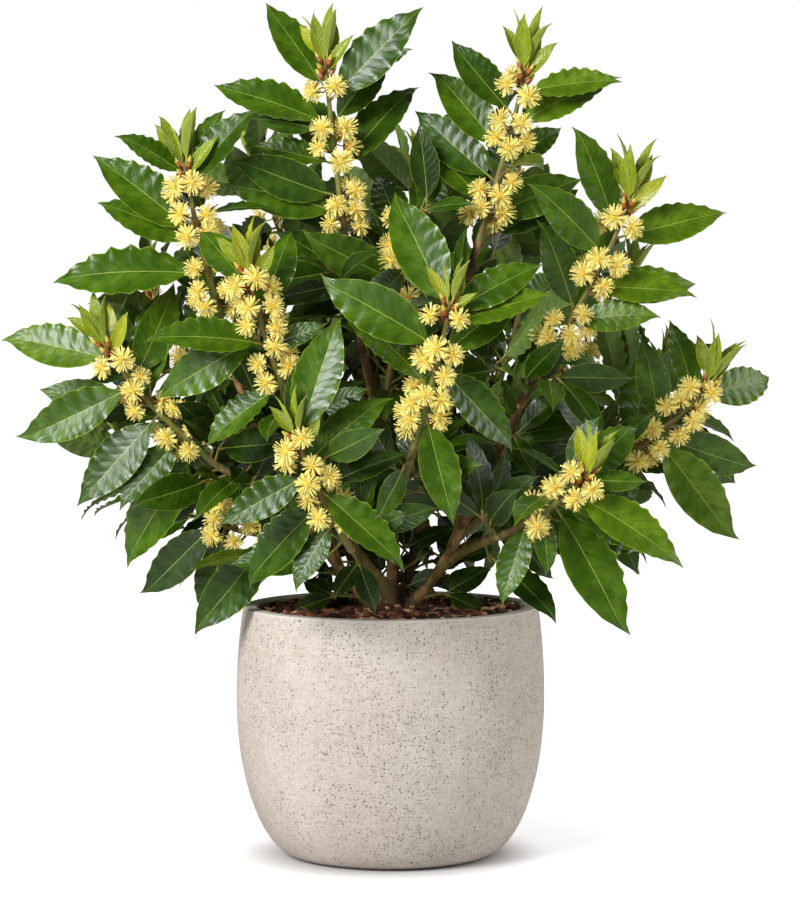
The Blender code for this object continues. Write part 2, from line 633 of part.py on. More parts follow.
class Mass:
    """One shoot's solid while it grows: its twig, and the pieces to be fused to it."""

    def __init__(self, name):
        self.name = name
        self.shoot = SHOOTS[name]
        self.front = front_of(self.shoot)
        start_way, tip_way = shoot_ways(self.shoot)
        base = Vector(self.shoot.base) * MM + start_way * CLEAR
        self.tip = Vector(self.shoot.tip) * MM
        self.tip_way = tip_way
        self.path = limb_path(base, start_way, self.tip, tip_way, TWIG_SEGMENTS)
        self.pieces = bpy.data.collections.new("pieces_" + name)
        bpy.context.scene.collection.children.link(self.pieces)
        self.twig = self.add_twig(self.path, LIMB_TIP_RADIUS, TWIG_TIP_RADIUS)
        self.side_paths = []
        self.count = 0

    def add_twig(self, path, thick, thin):
        mesh = as_mesh(twig_shape(path, thick, thin), "twig")
        remember(self.name + "_twig", mesh)
        return add_object("twig", mesh, self.pieces)

    def fuse(self, shape, kind):
        mesh = as_mesh(shape, "piece")
        remember(self.name + kind, mesh)
        add_object("piece", mesh, self.pieces)

    def add_leaf(self, leaf, stations=LEAF_STATIONS):
        if not fits(leaf, self.name, stations):
            return False
        self.fuse(leaf_shape(leaf, stations), "_leaf")
        self.count += 1
        return True

    def grow_side_twigs(self):
        """Side twigs leave the main twig by the golden angle and turn up."""
        for number in range(self.shoot.side_twigs):
            chance = random.Random(f"{self.name} side twig {number}")
            root, way = point_on(self.path, 0.22 + 0.2 * number)
            for _ in range(LEAF_TRIES):
                around = Quaternion(way, chance.uniform(0, 2 * math.pi)) @ way.orthogonal().normalized()
                out = (0.6 * way + around).normalized()
                end = root + out * chance.uniform(42, 56) * MM
                path = [root, root.lerp(end, 0.5) - 1.5 * MM * UP, end]
                room = twig_shape(path, SIDE_TWIG_RADIUS, TWIG_TIP_RADIUS, LEAF_CLEAR)
                blocked = touches(room, skip=(self.name + "_twig",))
                room.free()
                if not blocked:
                    self.add_twig(path, SIDE_TWIG_RADIUS, TWIG_TIP_RADIUS)
                    self.side_paths.append(path)
                    break

    def grow_tuft(self):
        """Young leaves stand up from the tip in a fan, the inner ones the longest."""
        if self.name.startswith(("inner", "under")):
            return
        chance = random.Random(self.name + " tuft")
        upright = (self.tip_way + TUFT_PULL * UP).normalized()
        tallest = self.shoot.tuft * MM
        for number, angle in enumerate(TUFT_ANGLES if self.shoot.leaves else TUFT_ANGLES[1:]):
            turn = math.radians(angle + chance.uniform(-5, 5))
            way = Quaternion(self.front, -turn) @ upright
            lean = math.radians(14 if number % 2 else -12)
            way = Quaternion(UP.cross(self.front), lean) @ way
            length = tallest * (1.0 if abs(angle) < 20 else 0.88) * chance.uniform(0.95, 1.05)
            normal = upper_side(way, self.front, chance.uniform(-0.4, 0.4))
            root = self.tip - self.tip_way * (1 + 4 * number) * MM
            leaf = Leaf(root, way, normal, length, 0.3 * length, chance.uniform(0.1, 0.3))
            self.add_leaf(leaf, YOUNG_STATIONS)

    def grow_umbels(self):
        """Flower clusters on short stalks, in pairs down the twig, a little to its front."""
        chance = random.Random(self.name + " flowers")
        own = (self.name + "_twig", self.name + "_leaf", self.name + "_umbel")
        for number in range(self.shoot.umbels):
            root, way = point_on(self.path, 1 - UMBEL_PLACES[number])
            side = 1 if number % 2 else -1
            across = way.cross(self.front).normalized() * side
            out = (across + self.front * chance.uniform(0.35, 0.9) + way * 0.35).normalized()
            for _ in range(2 * LEAF_TRIES):
                shape = umbel_shape(root, out)
                head = umbel_shape(root, out, UMBEL_HEAD)
                blocked = touches(shape, skip=own) or touches(head)
                head.free()
                if not blocked:
                    self.fuse(shape, "_umbel")
                    break
                shape.free()
                bend = across * chance.uniform(-0.3, 0.5) + self.front * chance.uniform(-0.5, 0.6)
                out = (out + bend + way * chance.uniform(-0.5, 0.5)).normalized()

    def grow_placed_leaves(self):
        """The leaves whose places are chosen by hand: a blocked one leans another way before it is given up."""
        for number, (down, hour, length) in enumerate(self.shoot.leaves):
            chance = random.Random(f"{self.name} leaf {number}")
            root = point_on(self.path, 1 - down)[0]
            for _ in range(2 * LEAF_TRIES):
                lean = chance.uniform(-0.32, 0.40)
                way = clock_way(hour + chance.uniform(-0.08, 0.08), self.front, lean)
                normal = upper_side(way, self.front, chance.uniform(-0.3, 0.3))
                size = PLACED_LENGTH * length * MM / math.cos(lean)
                width = LEAF_WIDTH * size * chance.uniform(0.95, 1.05)
                if self.add_leaf(Leaf(root, way, normal, size, width, chance.uniform(0.10, 0.40))):
                    break

    def grow_spiral_leaf(self, number):
        """One leaf of the spiral: by the golden angle down the twig, smaller near the tip."""
        paths_here = [self.path] + self.side_paths
        path = paths_here[number % len(paths_here)]
        on_main = path is self.path
        chance = random.Random(f"{self.name} spiral {number}")
        share = (number + 0.5) / self.shoot.spiral
        down = 0.06 + 0.86 * share if on_main else 0.5 * share
        root, along = point_on(path, 1 - down)
        start = random.Random(self.name + " start").uniform(0, 2 * math.pi)
        for attempt in range(LEAF_TRIES):
            around = start + GOLDEN_ANGLE * number + attempt * chance.uniform(0.3, 0.9)
            side = Quaternion(along, around) @ along.orthogonal().normalized()
            open_angle = math.radians(chance.uniform(42, 68))
            way = (along * math.cos(open_angle) + side * math.sin(open_angle)).normalized()
            if self.shoot.leaves and way.dot(self.front) > FRONT_LEAN:
                continue
            low, high = LEAF_LENGTHS
            length = low + (high - low) * (0.25 + 0.75 * share) * chance.uniform(0.8, 1.0)
            normal = upper_side(way, self.front, chance.uniform(-0.5, 0.5))
            width = LEAF_WIDTH * length * chance.uniform(0.95, 1.05)
            if self.add_leaf(Leaf(root, way, normal, length, width, chance.uniform(0.15, 0.55))):
                return

    def join(self):
        """One Boolean union of the twig with every piece in the collection, then its objects go."""
        self.pieces.objects.unlink(self.twig)
        parts.objects.link(self.twig)
        union = self.twig.modifiers.new("fuse", "BOOLEAN")
        union.operation = "UNION"
        union.operand_type = "COLLECTION"
        union.collection = self.pieces
        union.solver = "MANIFOLD"
        mesh = largest_piece(evaluated_mesh(self.twig))
        bpy.data.objects.remove(self.twig)
        for piece in list(self.pieces.objects):
            bpy.data.objects.remove(piece)
        bpy.data.collections.remove(self.pieces)
        foliage = add_object("foliage_" + self.name, mesh, parts, LEAF_GREEN, 0.4)
        print(foliage.name, self.count, "leaves", len(mesh.polygons), "faces")


make_pot()
make_soil()
make_mulch()
for name in ("pot", "bark_mulch"):
    remember(name, evaluated_mesh(bpy.data.objects[name]))
for name, stem in STEMS.items():
    make_stem(name, *stem)
for shoot_name, carrier, share in BOUGHS:
    make_bough(shoot_name, carrier, share)

masses = [Mass(name) for name in SHOOTS]
for mass in masses:
    mass.grow_side_twigs()
for mass in masses:
    mass.grow_tuft()
for mass in masses:
    mass.grow_placed_leaves()
for mass in masses:
    mass.grow_umbels()
most = max(mass.shoot.spiral for mass in masses)
for number in range(most):
    for mass in masses:
        if number < mass.shoot.spiral:
            mass.grow_spiral_leaf(number)
for mass in masses:
    mass.join()
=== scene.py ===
# %% [markdown]
# # A bay laurel in flower, in a round bowl of speckled concrete
#
# A bay laurel that is grown as a bush has a handful of stems from one clump. Boughs fork off the stems, and
# every limb ends in a leafy shoot: a twig with glossy leaves up its sides, flower clusters between them and a
# tuft of young yellow-green leaves on top. This lesson dresses a set of plain solids with all of that.
# Lengths are in metres, +Z is up, and the plant is seen from -Y.

# %% Load the solids that every piece is fitted to
import math
import random
from collections import defaultdict, namedtuple

import bmesh
import bpy
import numpy as np
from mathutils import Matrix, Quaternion, Vector
from mathutils.bvhtree import BVHTree


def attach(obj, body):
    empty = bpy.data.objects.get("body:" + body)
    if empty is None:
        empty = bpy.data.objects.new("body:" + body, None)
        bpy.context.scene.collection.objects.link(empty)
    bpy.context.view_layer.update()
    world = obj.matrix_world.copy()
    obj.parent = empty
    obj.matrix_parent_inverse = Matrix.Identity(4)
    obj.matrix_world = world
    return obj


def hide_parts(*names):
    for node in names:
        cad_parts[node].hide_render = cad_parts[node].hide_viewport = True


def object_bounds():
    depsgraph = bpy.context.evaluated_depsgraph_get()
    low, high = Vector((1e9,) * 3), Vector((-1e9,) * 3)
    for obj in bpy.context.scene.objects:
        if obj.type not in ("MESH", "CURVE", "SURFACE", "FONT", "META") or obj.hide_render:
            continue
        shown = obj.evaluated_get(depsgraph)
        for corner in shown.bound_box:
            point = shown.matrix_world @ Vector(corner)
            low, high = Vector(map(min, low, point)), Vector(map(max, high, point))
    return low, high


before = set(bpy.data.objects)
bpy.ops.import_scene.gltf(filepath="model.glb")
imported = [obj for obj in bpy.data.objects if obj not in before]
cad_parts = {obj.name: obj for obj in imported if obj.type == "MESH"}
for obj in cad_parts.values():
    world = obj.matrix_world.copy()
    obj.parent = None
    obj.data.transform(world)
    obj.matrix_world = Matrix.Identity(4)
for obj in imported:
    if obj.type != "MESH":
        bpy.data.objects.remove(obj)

MM = 0.001
UP = Vector((0, 0, 1))
FULL_TURN = 2 * math.pi
solid_low, solid_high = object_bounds()
print("solids:", len(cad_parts), "- their box in mm:", [round(v / MM) for v in solid_high - solid_low])

# %% [markdown]
# ## The studio
#
# A potted plant is pictured from a few metres away with a long lens, from a little above its middle.

# %% Camera
CAMERA_DISTANCE = 2.565
CAMERA_HEIGHT = 0.482
CAMERA_SIDE = 0.0081
LOOK_DOWN = math.radians(3.0)
LENS = 120
SENSOR = 36


def into_scene(thing):
    bpy.context.scene.collection.objects.link(thing)
    return thing


lens = bpy.data.cameras.new("camera")
lens.lens, lens.sensor_width = LENS, SENSOR
camera = into_scene(bpy.data.objects.new("camera", lens))
camera.location = (CAMERA_SIDE, -CAMERA_DISTANCE, CAMERA_HEIGHT)
camera.rotation_euler = (math.pi / 2 - LOOK_DOWN, 0, 0)
bpy.context.scene.camera = camera
print("camera", round(CAMERA_DISTANCE, 2), "m away with a", LENS, "mm lens")

# %% [markdown]
# Colours are easier to judge as a colour picker's 0 to 255 values, but shaders work with linear light, so the
# first helper turns one into the other. The plain Standard view keeps greens and yellows full.
#
# A long row of Math nodes is hard to read as code, so a node's output is held here as a wire, and what is
# written as a sum or a product of wires adds those nodes.

# %% Colours, nodes and wires
bpy.context.scene.view_settings.view_transform = "Standard"


def colour(red, green, blue):
    """A linear colour from a picker's 0 to 255 values."""
    shares = [value / 255 for value in (red, green, blue)]
    return (*[s / 12.92 if s <= 0.04045 else ((s + 0.055) / 1.055) ** 2.4 for s in shares], 1.0)


def feed(tree, socket, value):
    """Links a socket to a wire, or sets its plain value. Three values are a picker's colour."""
    if isinstance(value, Wire):
        tree.links.new(value.socket, socket)
    else:
        socket.default_value = colour(*value) if isinstance(value, tuple) and len(value) == 3 else value


def add_node(tree, kind, settings=None, **inputs):
    """A shader node of a kind, with its settings and its inputs by name."""
    made = tree.nodes.new("ShaderNode" + kind)
    for name, value in (settings or {}).items():
        setattr(made, name, value)
    for name, value in inputs.items():
        feed(tree, made.inputs[name.replace("_", " ")], value)
    return made


def wire(tree, kind, output=0, settings=None, **inputs):
    """The wire from one output of a new node."""
    return Wire(tree, add_node(tree, kind, settings, **inputs).outputs[output])


def math_node(operation, swapped=False):
    """What a sign such as + does to a wire: it adds a Math node."""

    def reckon(first, second=0.0):
        made = add_node(first.tree, "Math", {"operation": operation})
        for socket, value in zip(made.inputs, (second, first) if swapped else (first, second)):
            feed(first.tree, socket, value)
        return Wire(first.tree, made.outputs[0])

    return reckon


class Wire:
    """An output of a node that is reckoned with like a number."""

    def __init__(self, tree, socket):
        self.tree, self.socket = tree, socket

    __add__ = __radd__ = math_node("ADD")
    __mul__ = __rmul__ = math_node("MULTIPLY")
    __sub__, __rsub__ = math_node("SUBTRACT"), math_node("SUBTRACT", swapped=True)
    __truediv__, __pow__ = math_node("DIVIDE"), math_node("POWER")
    __gt__, __lt__ = math_node("GREATER_THAN"), math_node("LESS_THAN")
    __abs__, fract = math_node("ABSOLUTE"), math_node("FRACT")

    def step(self, low, high):
        """0 at low and before it, 1 at high and past it, and smooth between them."""
        smooth = {"interpolation_type": "SMOOTHSTEP"}
        return wire(self.tree, "MapRange", 0, smooth, Value=self, From_Min=low, From_Max=high)


print("a sum of wires is a Math node")


# %% Materials
def blended(factor, below, above):
    """A colour between two: the first where the factor is 0, the second where it is 1."""
    made = add_node(factor.tree, "Mix", {"data_type": "RGBA"})
    for place, value in ((0, factor), (6, below), (7, above)):
        feed(factor.tree, made.inputs[place], value)
    return Wire(factor.tree, made.outputs[2])


def start_material(name, roughness=0.5, coat=0.0):
    """A material, its node tree and its Principled shader, with the values that are the same all over."""
    material = bpy.data.materials.new(name)
    material.use_nodes = True
    shader = material.node_tree.nodes["Principled BSDF"]
    paint(shader, Roughness=roughness, Coat_Weight=coat)
    return material, material.node_tree, shader


def paint(shader, **inputs):
    """Gives a shader's inputs their wires or values by name."""
    for name, value in inputs.items():
        feed(shader.id_data, shader.inputs[name.replace("_", " ")], value)


def add_bump(shader, height, distance, strength=1.0):
    paint(shader, Normal=wire(shader.id_data, "Bump", Height=height, Distance=distance, Strength=strength))


def object_place(tree):
    """Where a point of the surface is, in the object's own metres."""
    return wire(tree, "TexCoord", "Object")


def noise(place, scale, detail, settings=None, **inputs):
    """Soft random blotches, from 0 to 1."""
    return wire(place.tree, "TexNoise", "Fac", settings, Vector=place, Scale=scale, Detail=detail, **inputs)


print("colour 128 of 255 is", round(colour(128, 128, 128)[0], 3), "in linear light")

# %% [markdown]
# The floor is white paper. It glows a little for the camera, least close to the pot, where less glow paints a
# soft shadow that grounds it, and most far away, so that it ends in a sky as white as itself and no edge shows.
# The sky is much dimmer for the plant than it is for the camera: dark glossy leaves would turn milky under a
# bright one.

# %% Floor
FLOOR_TONES = ((0.60, 0.59, 0.58, 1), (0.62, 0.61, 0.60, 1))
FLOOR_HALF = 40
GLOWS = ((0.082, 0.0), (0.145, 0.58), (0.3, 0.74), (3.5, 0.90))  # metres from the pot, and the glow there

floor_mesh = bpy.data.meshes.new("floor")
floor_corners = [(x * FLOOR_HALF, y * FLOOR_HALF, 0) for x, y in ((-1, -1), (1, -1), (1, 1), (-1, 1))]
floor_mesh.from_pydata(floor_corners, [], [(0, 1, 2, 3)])
floor = into_scene(bpy.data.objects.new("floor", floor_mesh))
material, tree, shader = start_material("floor_paper", roughness=0.85)
away = wire(tree, "VectorMath", "Value", {"operation": "LENGTH"}, Vector=object_place(tree))
# Less glow close to the pot paints a soft shadow round its foot.
glow = GLOWS[0][1]
for (start, low), (end, high) in zip(GLOWS, GLOWS[1:]):
    glow = glow + away.step(start, end) * (high - low)
grain = wire(tree, "TexNoise", "Fac", Scale=35.0, Detail=4.0)
paint(shader, Base_Color=blended(grain, *FLOOR_TONES), Emission_Color=(1, 1, 1, 1),
      Emission_Strength=wire(tree, "LightPath", "Is Camera Ray") * glow)
floor_mesh.materials.append(material)
print("floor", 2 * FLOOR_HALF, "m wide")

# %% Sky
SKY_STRENGTH = 0.32
SKY_SEEN = 1.0
SKY_GLOSS = 0.04

world = bpy.data.worlds.new("sky")
world.use_nodes = True
bpy.context.scene.world = world
sky = world.node_tree
seen = wire(sky, "LightPath", "Is Camera Ray") * (SKY_SEEN - SKY_STRENGTH)
mirrored = wire(sky, "LightPath", "Is Glossy Ray") * (SKY_GLOSS - SKY_STRENGTH)
paint(sky.nodes["Background"], Color=(1, 1, 1, 1), Strength=SKY_STRENGTH + (seen + mirrored))
print("the sky is", SKY_SEEN, "for the camera and", SKY_STRENGTH, "for the plant")

# %% [markdown]
# A big soft lamp at the front left models the leaves and the bowl, a weaker one fills the right, and one from
# behind rims the crown.

# %% Lamps
LAMPS = {  # name: place, what it points at, size in metres, power in watts
    "key": ((-1.9, -2.3, 1.75), (0, 0, 0.42), 1.3, 122),
    "fill": ((2.7, -0.1, 1.0), (0, 0, 0.36), 1.6, 36),
    "rim": ((0.5, 2.0, 2.4), (0, 0, 0.50), 1.4, 20),
}
for name, (place, aim, size, power) in LAMPS.items():
    lamp = bpy.data.lights.new(name, "AREA")
    lamp.size, lamp.energy = size, power
    holder = into_scene(bpy.data.objects.new(name, lamp))
    holder.location = place
    holder.rotation_euler = (Vector(aim) - Vector(place)).to_track_quat("-Z", "Y").to_euler()
print("lamps:", ", ".join(LAMPS))

# %% [markdown]
# ## How the plant grows
#
# Every limb is a smooth curve from where it leaves its carrier to its tip. A leaf is tried at a place on a
# twig, and is kept only if it touches no other leaf or limb. The solids were grown by this same rule, so the
# first leaves of this lesson land where the solids have theirs. Each choice has a seed with its own name, so
# the plant always grows the same.

# %% The shoots, the stems and the boughs
CLEAR = 0.3 * MM
MULCH_TOP = 210 * MM
LIMB_TIP_RADIUS = 3.1 * MM
TWIG_TIP_RADIUS = 2.0 * MM
SIDE_TWIG_RADII = (2.1 * MM, TWIG_TIP_RADIUS)

Shoot = namedtuple("Shoot", "base tip tuft leaves spiral umbels side_twigs", defaults=((), 12, 5, 1))

# Where each twig starts and ends in mm, how tall its tuft is, its chosen leaves (place down the twig, clock
# hour seen from its front, length in mm), and how many spiral leaves, flower clusters and side twigs it has
SHOOTS = {
    "crown_left": Shoot(
        (-34, -60, 502), (-54, -70, 675), 46,
        ((0.16, 10.9, 86), (0.20, 1.5, 96), (0.32, 9.8, 98), (0.50, 9.6, 66), (0.55, 1.2, 98), (0.74, 9.5, 88)),
        5, 6, 0,
    ),
    "crown_right": Shoot(
        (74, -55, 525), (112, -70, 668), 50,
        ((0.28, 10.8, 76), (0.34, 1.9, 90), (0.54, 1.9, 56), (0.66, 10.5, 84), (0.80, 10.6, 72), (0.88, 2.2, 82)),
        5, 6, 0,
    ),
    "shoulder_left": Shoot(
        (-139, -85, 454), (-169, -98, 588), 48,
        ((0.14, 0.7, 66), (0.46, 10.4, 104), (0.68, 9.2, 124), (0.08, 10.1, 58)),
        5, 6, 0,
    ),
    "front_left": Shoot(
        (-85, -150, 401), (-113, -180, 500), 46,
        ((0.50, 8.1, 96), (0.94, 7.9, 74), (0.60, 2.3, 45)),
        4, 5, 0,
    ),
    "side_left": Shoot(
        (-153, -60, 344), (-238, -76, 440), 45,
        ((0.14, 9.5, 92), (0.34, 8.3, 98), (0.58, 7.5, 94), (0.78, 7.4, 72), (0.92, 7.1, 112)),
        5, 6, 0,
    ),
    "low_front": Shoot(
        (-37, -186, 288), (-73, -226, 371), 38,
        ((0.06, 0.5, 94), (0.26, 1.7, 78), (0.50, 4.2, 82), (0.36, 8.1, 74), (0.62, 7.6, 92), (0.84, 7.1, 56)),
        3, 5, 0,
    ),
    "front": Shoot(
        (20, -196, 362), (47, -246, 475), 38,
        ((0.08, 11.2, 98), (0.10, 1.9, 80), (0.32, 10.1, 99), (0.42, 4.5, 84), (0.76, 5.5, 82)),
        4, 5, 0,
    ),
    "shoulder_right": Shoot(
        (123, -76, 414), (197, -102, 559), 52,
        ((0.18, 11.5, 83), (0.22, 2.5, 92), (0.50, 2.95, 80), (0.70, 2.7, 64), (0.64, 11.4, 72)),
        5, 6, 0,
    ),
    "side_right": Shoot(
        (188, -52, 338), (268, -62, 409), 47,
        ((0.20, 11.6, 64), (0.56, 11.6, 73), (0.26, 3.6, 90), (0.62, 4.7, 102), (0.84, 6.3, 48)),
        4, 5, 0,
    ),
    "low_right": Shoot(
        (105, -150, 294), (157, -190, 339), 44,
        ((0.10, 3.0, 48), (0.30, 4.0, 96), (0.52, 4.9, 104), (0.70, 5.9, 45), (0.90, 6.7, 60)),
        3, 5, 0,
    ),
    "under_left": Shoot(
        (-90, -44, 276), (-148, -58, 292), 30,
        ((0.06, 7.5, 86), (0.18, 6.4, 82), (0.50, 8.0, 82), (0.80, 7.2, 48)),
        4, 2, 0,
    ),
    "under_right": Shoot((118, 30, 278), (190, 48, 322), 32, (), 10, 2, 0),
    "inner_front": Shoot((4, -45, 440), (14, -62, 556), 40, (), 11, 3, 1),
    "inner_left": Shoot((-70, 6, 388), (-104, 10, 486), 36, (), 11, 0, 1),
    "inner_right": Shoot((84, -8, 378), (112, -14, 478), 36, (), 11, 0, 1),
    "inner_low_left": Shoot((-46, 14, 318), (-84, 22, 400), 34, (), 11, 0, 1),
    "inner_low_right": Shoot((64, 4, 316), (100, 18, 402), 34, (), 11, 0, 1),
    "crown_back": Shoot((16, 52, 478), (26, 72, 590), 44, (), 13, 4, 1),
    "upper_back_left": Shoot((-78, 92, 486), (-118, 128, 602), 46, (), 12, 4, 1),
    "upper_back_right": Shoot((86, 118, 478), (112, 160, 590), 46, (), 12, 4, 1),
    "side_back_left": Shoot((-150, 70, 392), (-216, 98, 490), 44, (), 12, 4, 1),
    "side_back_right": Shoot((150, 84, 396), (214, 118, 494), 44, (), 12, 4, 1),
    "back": Shoot((-16, 160, 410), (-26, 222, 512), 44, (), 12, 4, 1),
    "low_left": Shoot((-160, 36, 290), (-232, 52, 352), 40, (), 10, 3, 1),
    "low_right_side": Shoot((182, 60, 346), (240, 78, 416), 40, (), 10, 3, 1),
    "low_back_left": Shoot((-112, 132, 304), (-160, 190, 378), 40, (), 11, 3, 1),
    "low_back": Shoot((22, 176, 300), (34, 252, 374), 40, (), 11, 3, 1),
    "low_back_right": Shoot((128, 142, 300), (180, 200, 374), 40, (), 11, 3, 1),
}

# Stems fan out from the mulch: the shoot that each ends in, its foot in mm, its thickness and its root flare
# in mm, and the way that it leans
STEMS = {
    "trunk": ("crown_left", (0, 0), 5.4, 4.2, (0.10, -0.05, 1.0)),
    "left": ("shoulder_left", (-19, -4), 4.6, 1.7, (-0.78, -0.10, 1.0)),
    "right": ("shoulder_right", (18, -4), 4.6, 1.5, (0.88, -0.10, 1.0)),
    "back_right": ("crown_right", (8.5, 14.5), 4.4, 1.2, (0.30, 0.10, 1.0)),
    "back_left": ("crown_back", (-9, 14), 4.4, 1.2, (-0.30, 0.10, 1.0)),
}

# Boughs: the shoot that each ends in, the limb that carries it and how far up that limb it leaves
BOUGHS = (
    ("front_left", "crown_left", 0.05),
    ("low_front", "front_left", 0.30),
    ("front", "crown_left", 0.20),
    ("inner_front", "crown_left", 0.50),
    ("side_left", "shoulder_left", 0.38),
    ("under_left", "shoulder_left", 0.24),
    ("inner_low_left", "shoulder_left", 0.20),
    ("inner_left", "shoulder_left", 0.56),
    ("side_right", "shoulder_right", 0.36),
    ("low_right", "shoulder_right", 0.17),
    ("under_right", "shoulder_right", 0.24),
    ("inner_low_right", "shoulder_right", 0.30),
    ("inner_right", "crown_right", 0.40),
    ("upper_back_right", "crown_right", 0.55),
    ("side_back_right", "crown_right", 0.30),
    ("low_right_side", "side_right", 0.40),
    ("low_back_right", "side_back_right", 0.30),
    ("upper_back_left", "crown_back", 0.56),
    ("back", "crown_back", 0.40),
    ("side_back_left", "crown_back", 0.24),
    ("low_left", "side_back_left", 0.30),
    ("low_back_left", "back", 0.22),
    ("low_back", "back", 0.42),
)
BOUGH_LEANS = {"front_left": (-0.95, -0.30, 1.0)}  # the way a bough leaves its carrier, if it has its own
print(len(SHOOTS), "shoots on", len(STEMS), "stems and", len(BOUGHS), "boughs")

# %% Curves
STRAIGHT_END = 4 * MM
STEM_SEGMENTS = 9
BOUGH_SEGMENTS = 5
TWIG_SEGMENTS = 3
FLARE_HEIGHT = 13 * MM
HANDLE_SHARE = 0.36  # how far a limb keeps the way that it starts in, of its length
BOUGH_ARRIVING = 0.22  # how far a bough keeps the way that it ends in


def bezier(p0, p1, p2, p3, count):
    points = []
    for k in range(count + 1):
        t = k / count
        s = 1 - t
        points.append(p0 * s**3 + p1 * (3 * s * s * t) + p2 * (3 * s * t * t) + p3 * t**3)
    return points


def limb_path(start, start_way, end, end_way, count, lean=None, arriving=HANDLE_SHARE):
    """A smooth path between short straight runs. A lean bends it past the first."""
    first = start + start_way * STRAIGHT_END
    last = end - end_way * STRAIGHT_END
    length = (last - first).length
    leave = first + (lean or start_way) * HANDLE_SHARE * length
    return [start] + bezier(first, leave, last - end_way * arriving * length, last, count) + [end]


def aside(way, turn):
    """A direction square to a way, turned round it."""
    return Quaternion(way, turn) @ way.orthogonal().normalized()


def point_on(points, share):
    """The point and direction at a share of a path's length."""
    lengths = [(b - a).length for a, b in zip(points, points[1:])]
    left = share * sum(lengths)
    for a, b, length in zip(points, points[1:], lengths):
        if left <= length:
            return a.lerp(b, left / length), (b - a).normalized()
        left -= length
    return points[-1].copy(), (points[-1] - points[-2]).normalized()


def shoot_ways(shoot):
    """A twig's direction at its start and at its tip, where it turns up to the light."""
    along = (Vector(shoot.tip) - Vector(shoot.base)).normalized()
    return (along - 0.12 * UP).normalized(), (along + 0.35 * UP).normalized()


print("a bough is worked out in", BOUGH_SEGMENTS, "runs")

# %% Where the stems run
Limb = namedtuple("Limb", "ends bend coarse radii thick flare")
limbs = {}  # shoot name: its stem or bough, with the rule's coarse points and radii


def add_limb(shoot_name, ends, bend, segments, thick, flare=0.0):
    points = limb_path(*ends, segments, *bend)
    radii = [
        LIMB_TIP_RADIUS
        + (thick - LIMB_TIP_RADIUS) * (1 - k / (len(points) - 1))
        + flare * math.exp(-(point.z - points[0].z) / FLARE_HEIGHT)
        for k, point in enumerate(points)
    ]
    limbs[shoot_name] = Limb(ends, bend, points, radii, thick, flare)


for shoot_name, foot, thickness, flare, lean in STEMS.values():
    shoot = SHOOTS[shoot_name]
    start = Vector((foot[0] * MM, foot[1] * MM, MULCH_TOP + CLEAR))
    ends = (start, UP, Vector(shoot.base) * MM, shoot_ways(shoot)[0])
    bend = (Vector(lean).normalized(), HANDLE_SHARE)
    add_limb(shoot_name, ends, bend, STEM_SEGMENTS, thickness * MM, flare * MM)
print("the thickest limb:", round(2 * max(limb.thick for limb in limbs.values()) / MM, 1), "mm")

# %% Where the boughs run
BOUGH_SHARE = 0.82  # how thick a bough is, as a share of its carrier there
FOLLOW = 0.45  # how much a bough goes on in its carrier's way

for shoot_name, carrier, share in BOUGHS:
    shoot = SHOOTS[shoot_name]
    start, way = point_on(limbs[carrier].coarse, share)
    end = Vector(shoot.base) * MM
    start_way = (way * FOLLOW + (end - start).normalized()).normalized()
    if shoot_name in BOUGH_LEANS:
        start_way = Vector(BOUGH_LEANS[shoot_name]).normalized()
    ends = (start, start_way, end, shoot_ways(shoot)[0])
    carrier_radii = limbs[carrier].radii
    row = min(int(share * len(carrier_radii)), len(carrier_radii) - 1)
    thick = max(BOUGH_SHARE * carrier_radii[row], LIMB_TIP_RADIUS)
    add_limb(shoot_name, ends, (None, BOUGH_ARRIVING), BOUGH_SEGMENTS, thick)
print("limbs:", len(limbs))

# %% [markdown]
# To know whether a leaf touches anything, each thing that is already there is kept as a surface in a search
# tree, with the corners of its box as a quick first test. Leaves are tried as simple closed wedges, a little
# fatter than they are, which leaves room for the waves of the real blade.

# %% The room that things take
placed = []  # owner, lowest corner, highest corner, surface


def corners_of(points):
    low = Vector(min(p[axis] for p in points) for axis in range(3))
    high = Vector(max(p[axis] for p in points) for axis in range(3))
    return low, high


def keep(owner, shape):
    """Remembers a bmesh that has found its place."""
    placed.append((owner, *corners_of([vertex.co for vertex in shape.verts]), BVHTree.FromBMesh(shape)))
    shape.free()


def blocked(shape, owners=None, skip=()):
    """Whether a bmesh that is only tried meets what is placed, of some owners or of all but some."""
    low, high = corners_of([vertex.co for vertex in shape.verts])
    surface = BVHTree.FromBMesh(shape)
    shape.free()
    for owner, lowest, highest, other in placed:
        if owner in skip or (owners and owner not in owners):
            continue
        if any(low[axis] > highest[axis] or high[axis] < lowest[axis] for axis in range(3)):
            continue
        if surface.overlap(other):
            return True
    return False


print("box and surface: two tests for each thing")


# %% A closed shape to try
def loft(rings, apex=None, start_apex=None):
    """A closed shape through rings of equal count, ending in a cap or at a point."""
    shape = bmesh.new()
    rows = [[shape.verts.new(point) for point in ring] for ring in rings]
    count = len(rows[0])
    for low, high in zip(rows, rows[1:]):
        for k in range(count):
            shape.faces.new((low[k], low[(k + 1) % count], high[(k + 1) % count], high[k]))
    for row, point in ((rows[0], start_apex), (rows[-1], apex)):
        if point is None:
            shape.faces.new(row)
            continue
        end = shape.verts.new(point)
        for k in range(count):
            shape.faces.new((row[k], row[(k + 1) % count], end))
    bmesh.ops.recalc_face_normals(shape, faces=shape.faces)
    bmesh.ops.triangulate(shape, faces=shape.faces)
    return shape


for name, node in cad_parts.items():
    if name.startswith(("pot", "bark_mulch", "stem_", "bough_")):
        corners = [vertex.co.copy() for vertex in node.data.vertices]
        surface = BVHTree.FromPolygons(corners, [tuple(polygon.vertices) for polygon in node.data.polygons])
        placed.append((name, *corners_of(corners), surface))
print("surfaces to keep clear of:", len(placed))

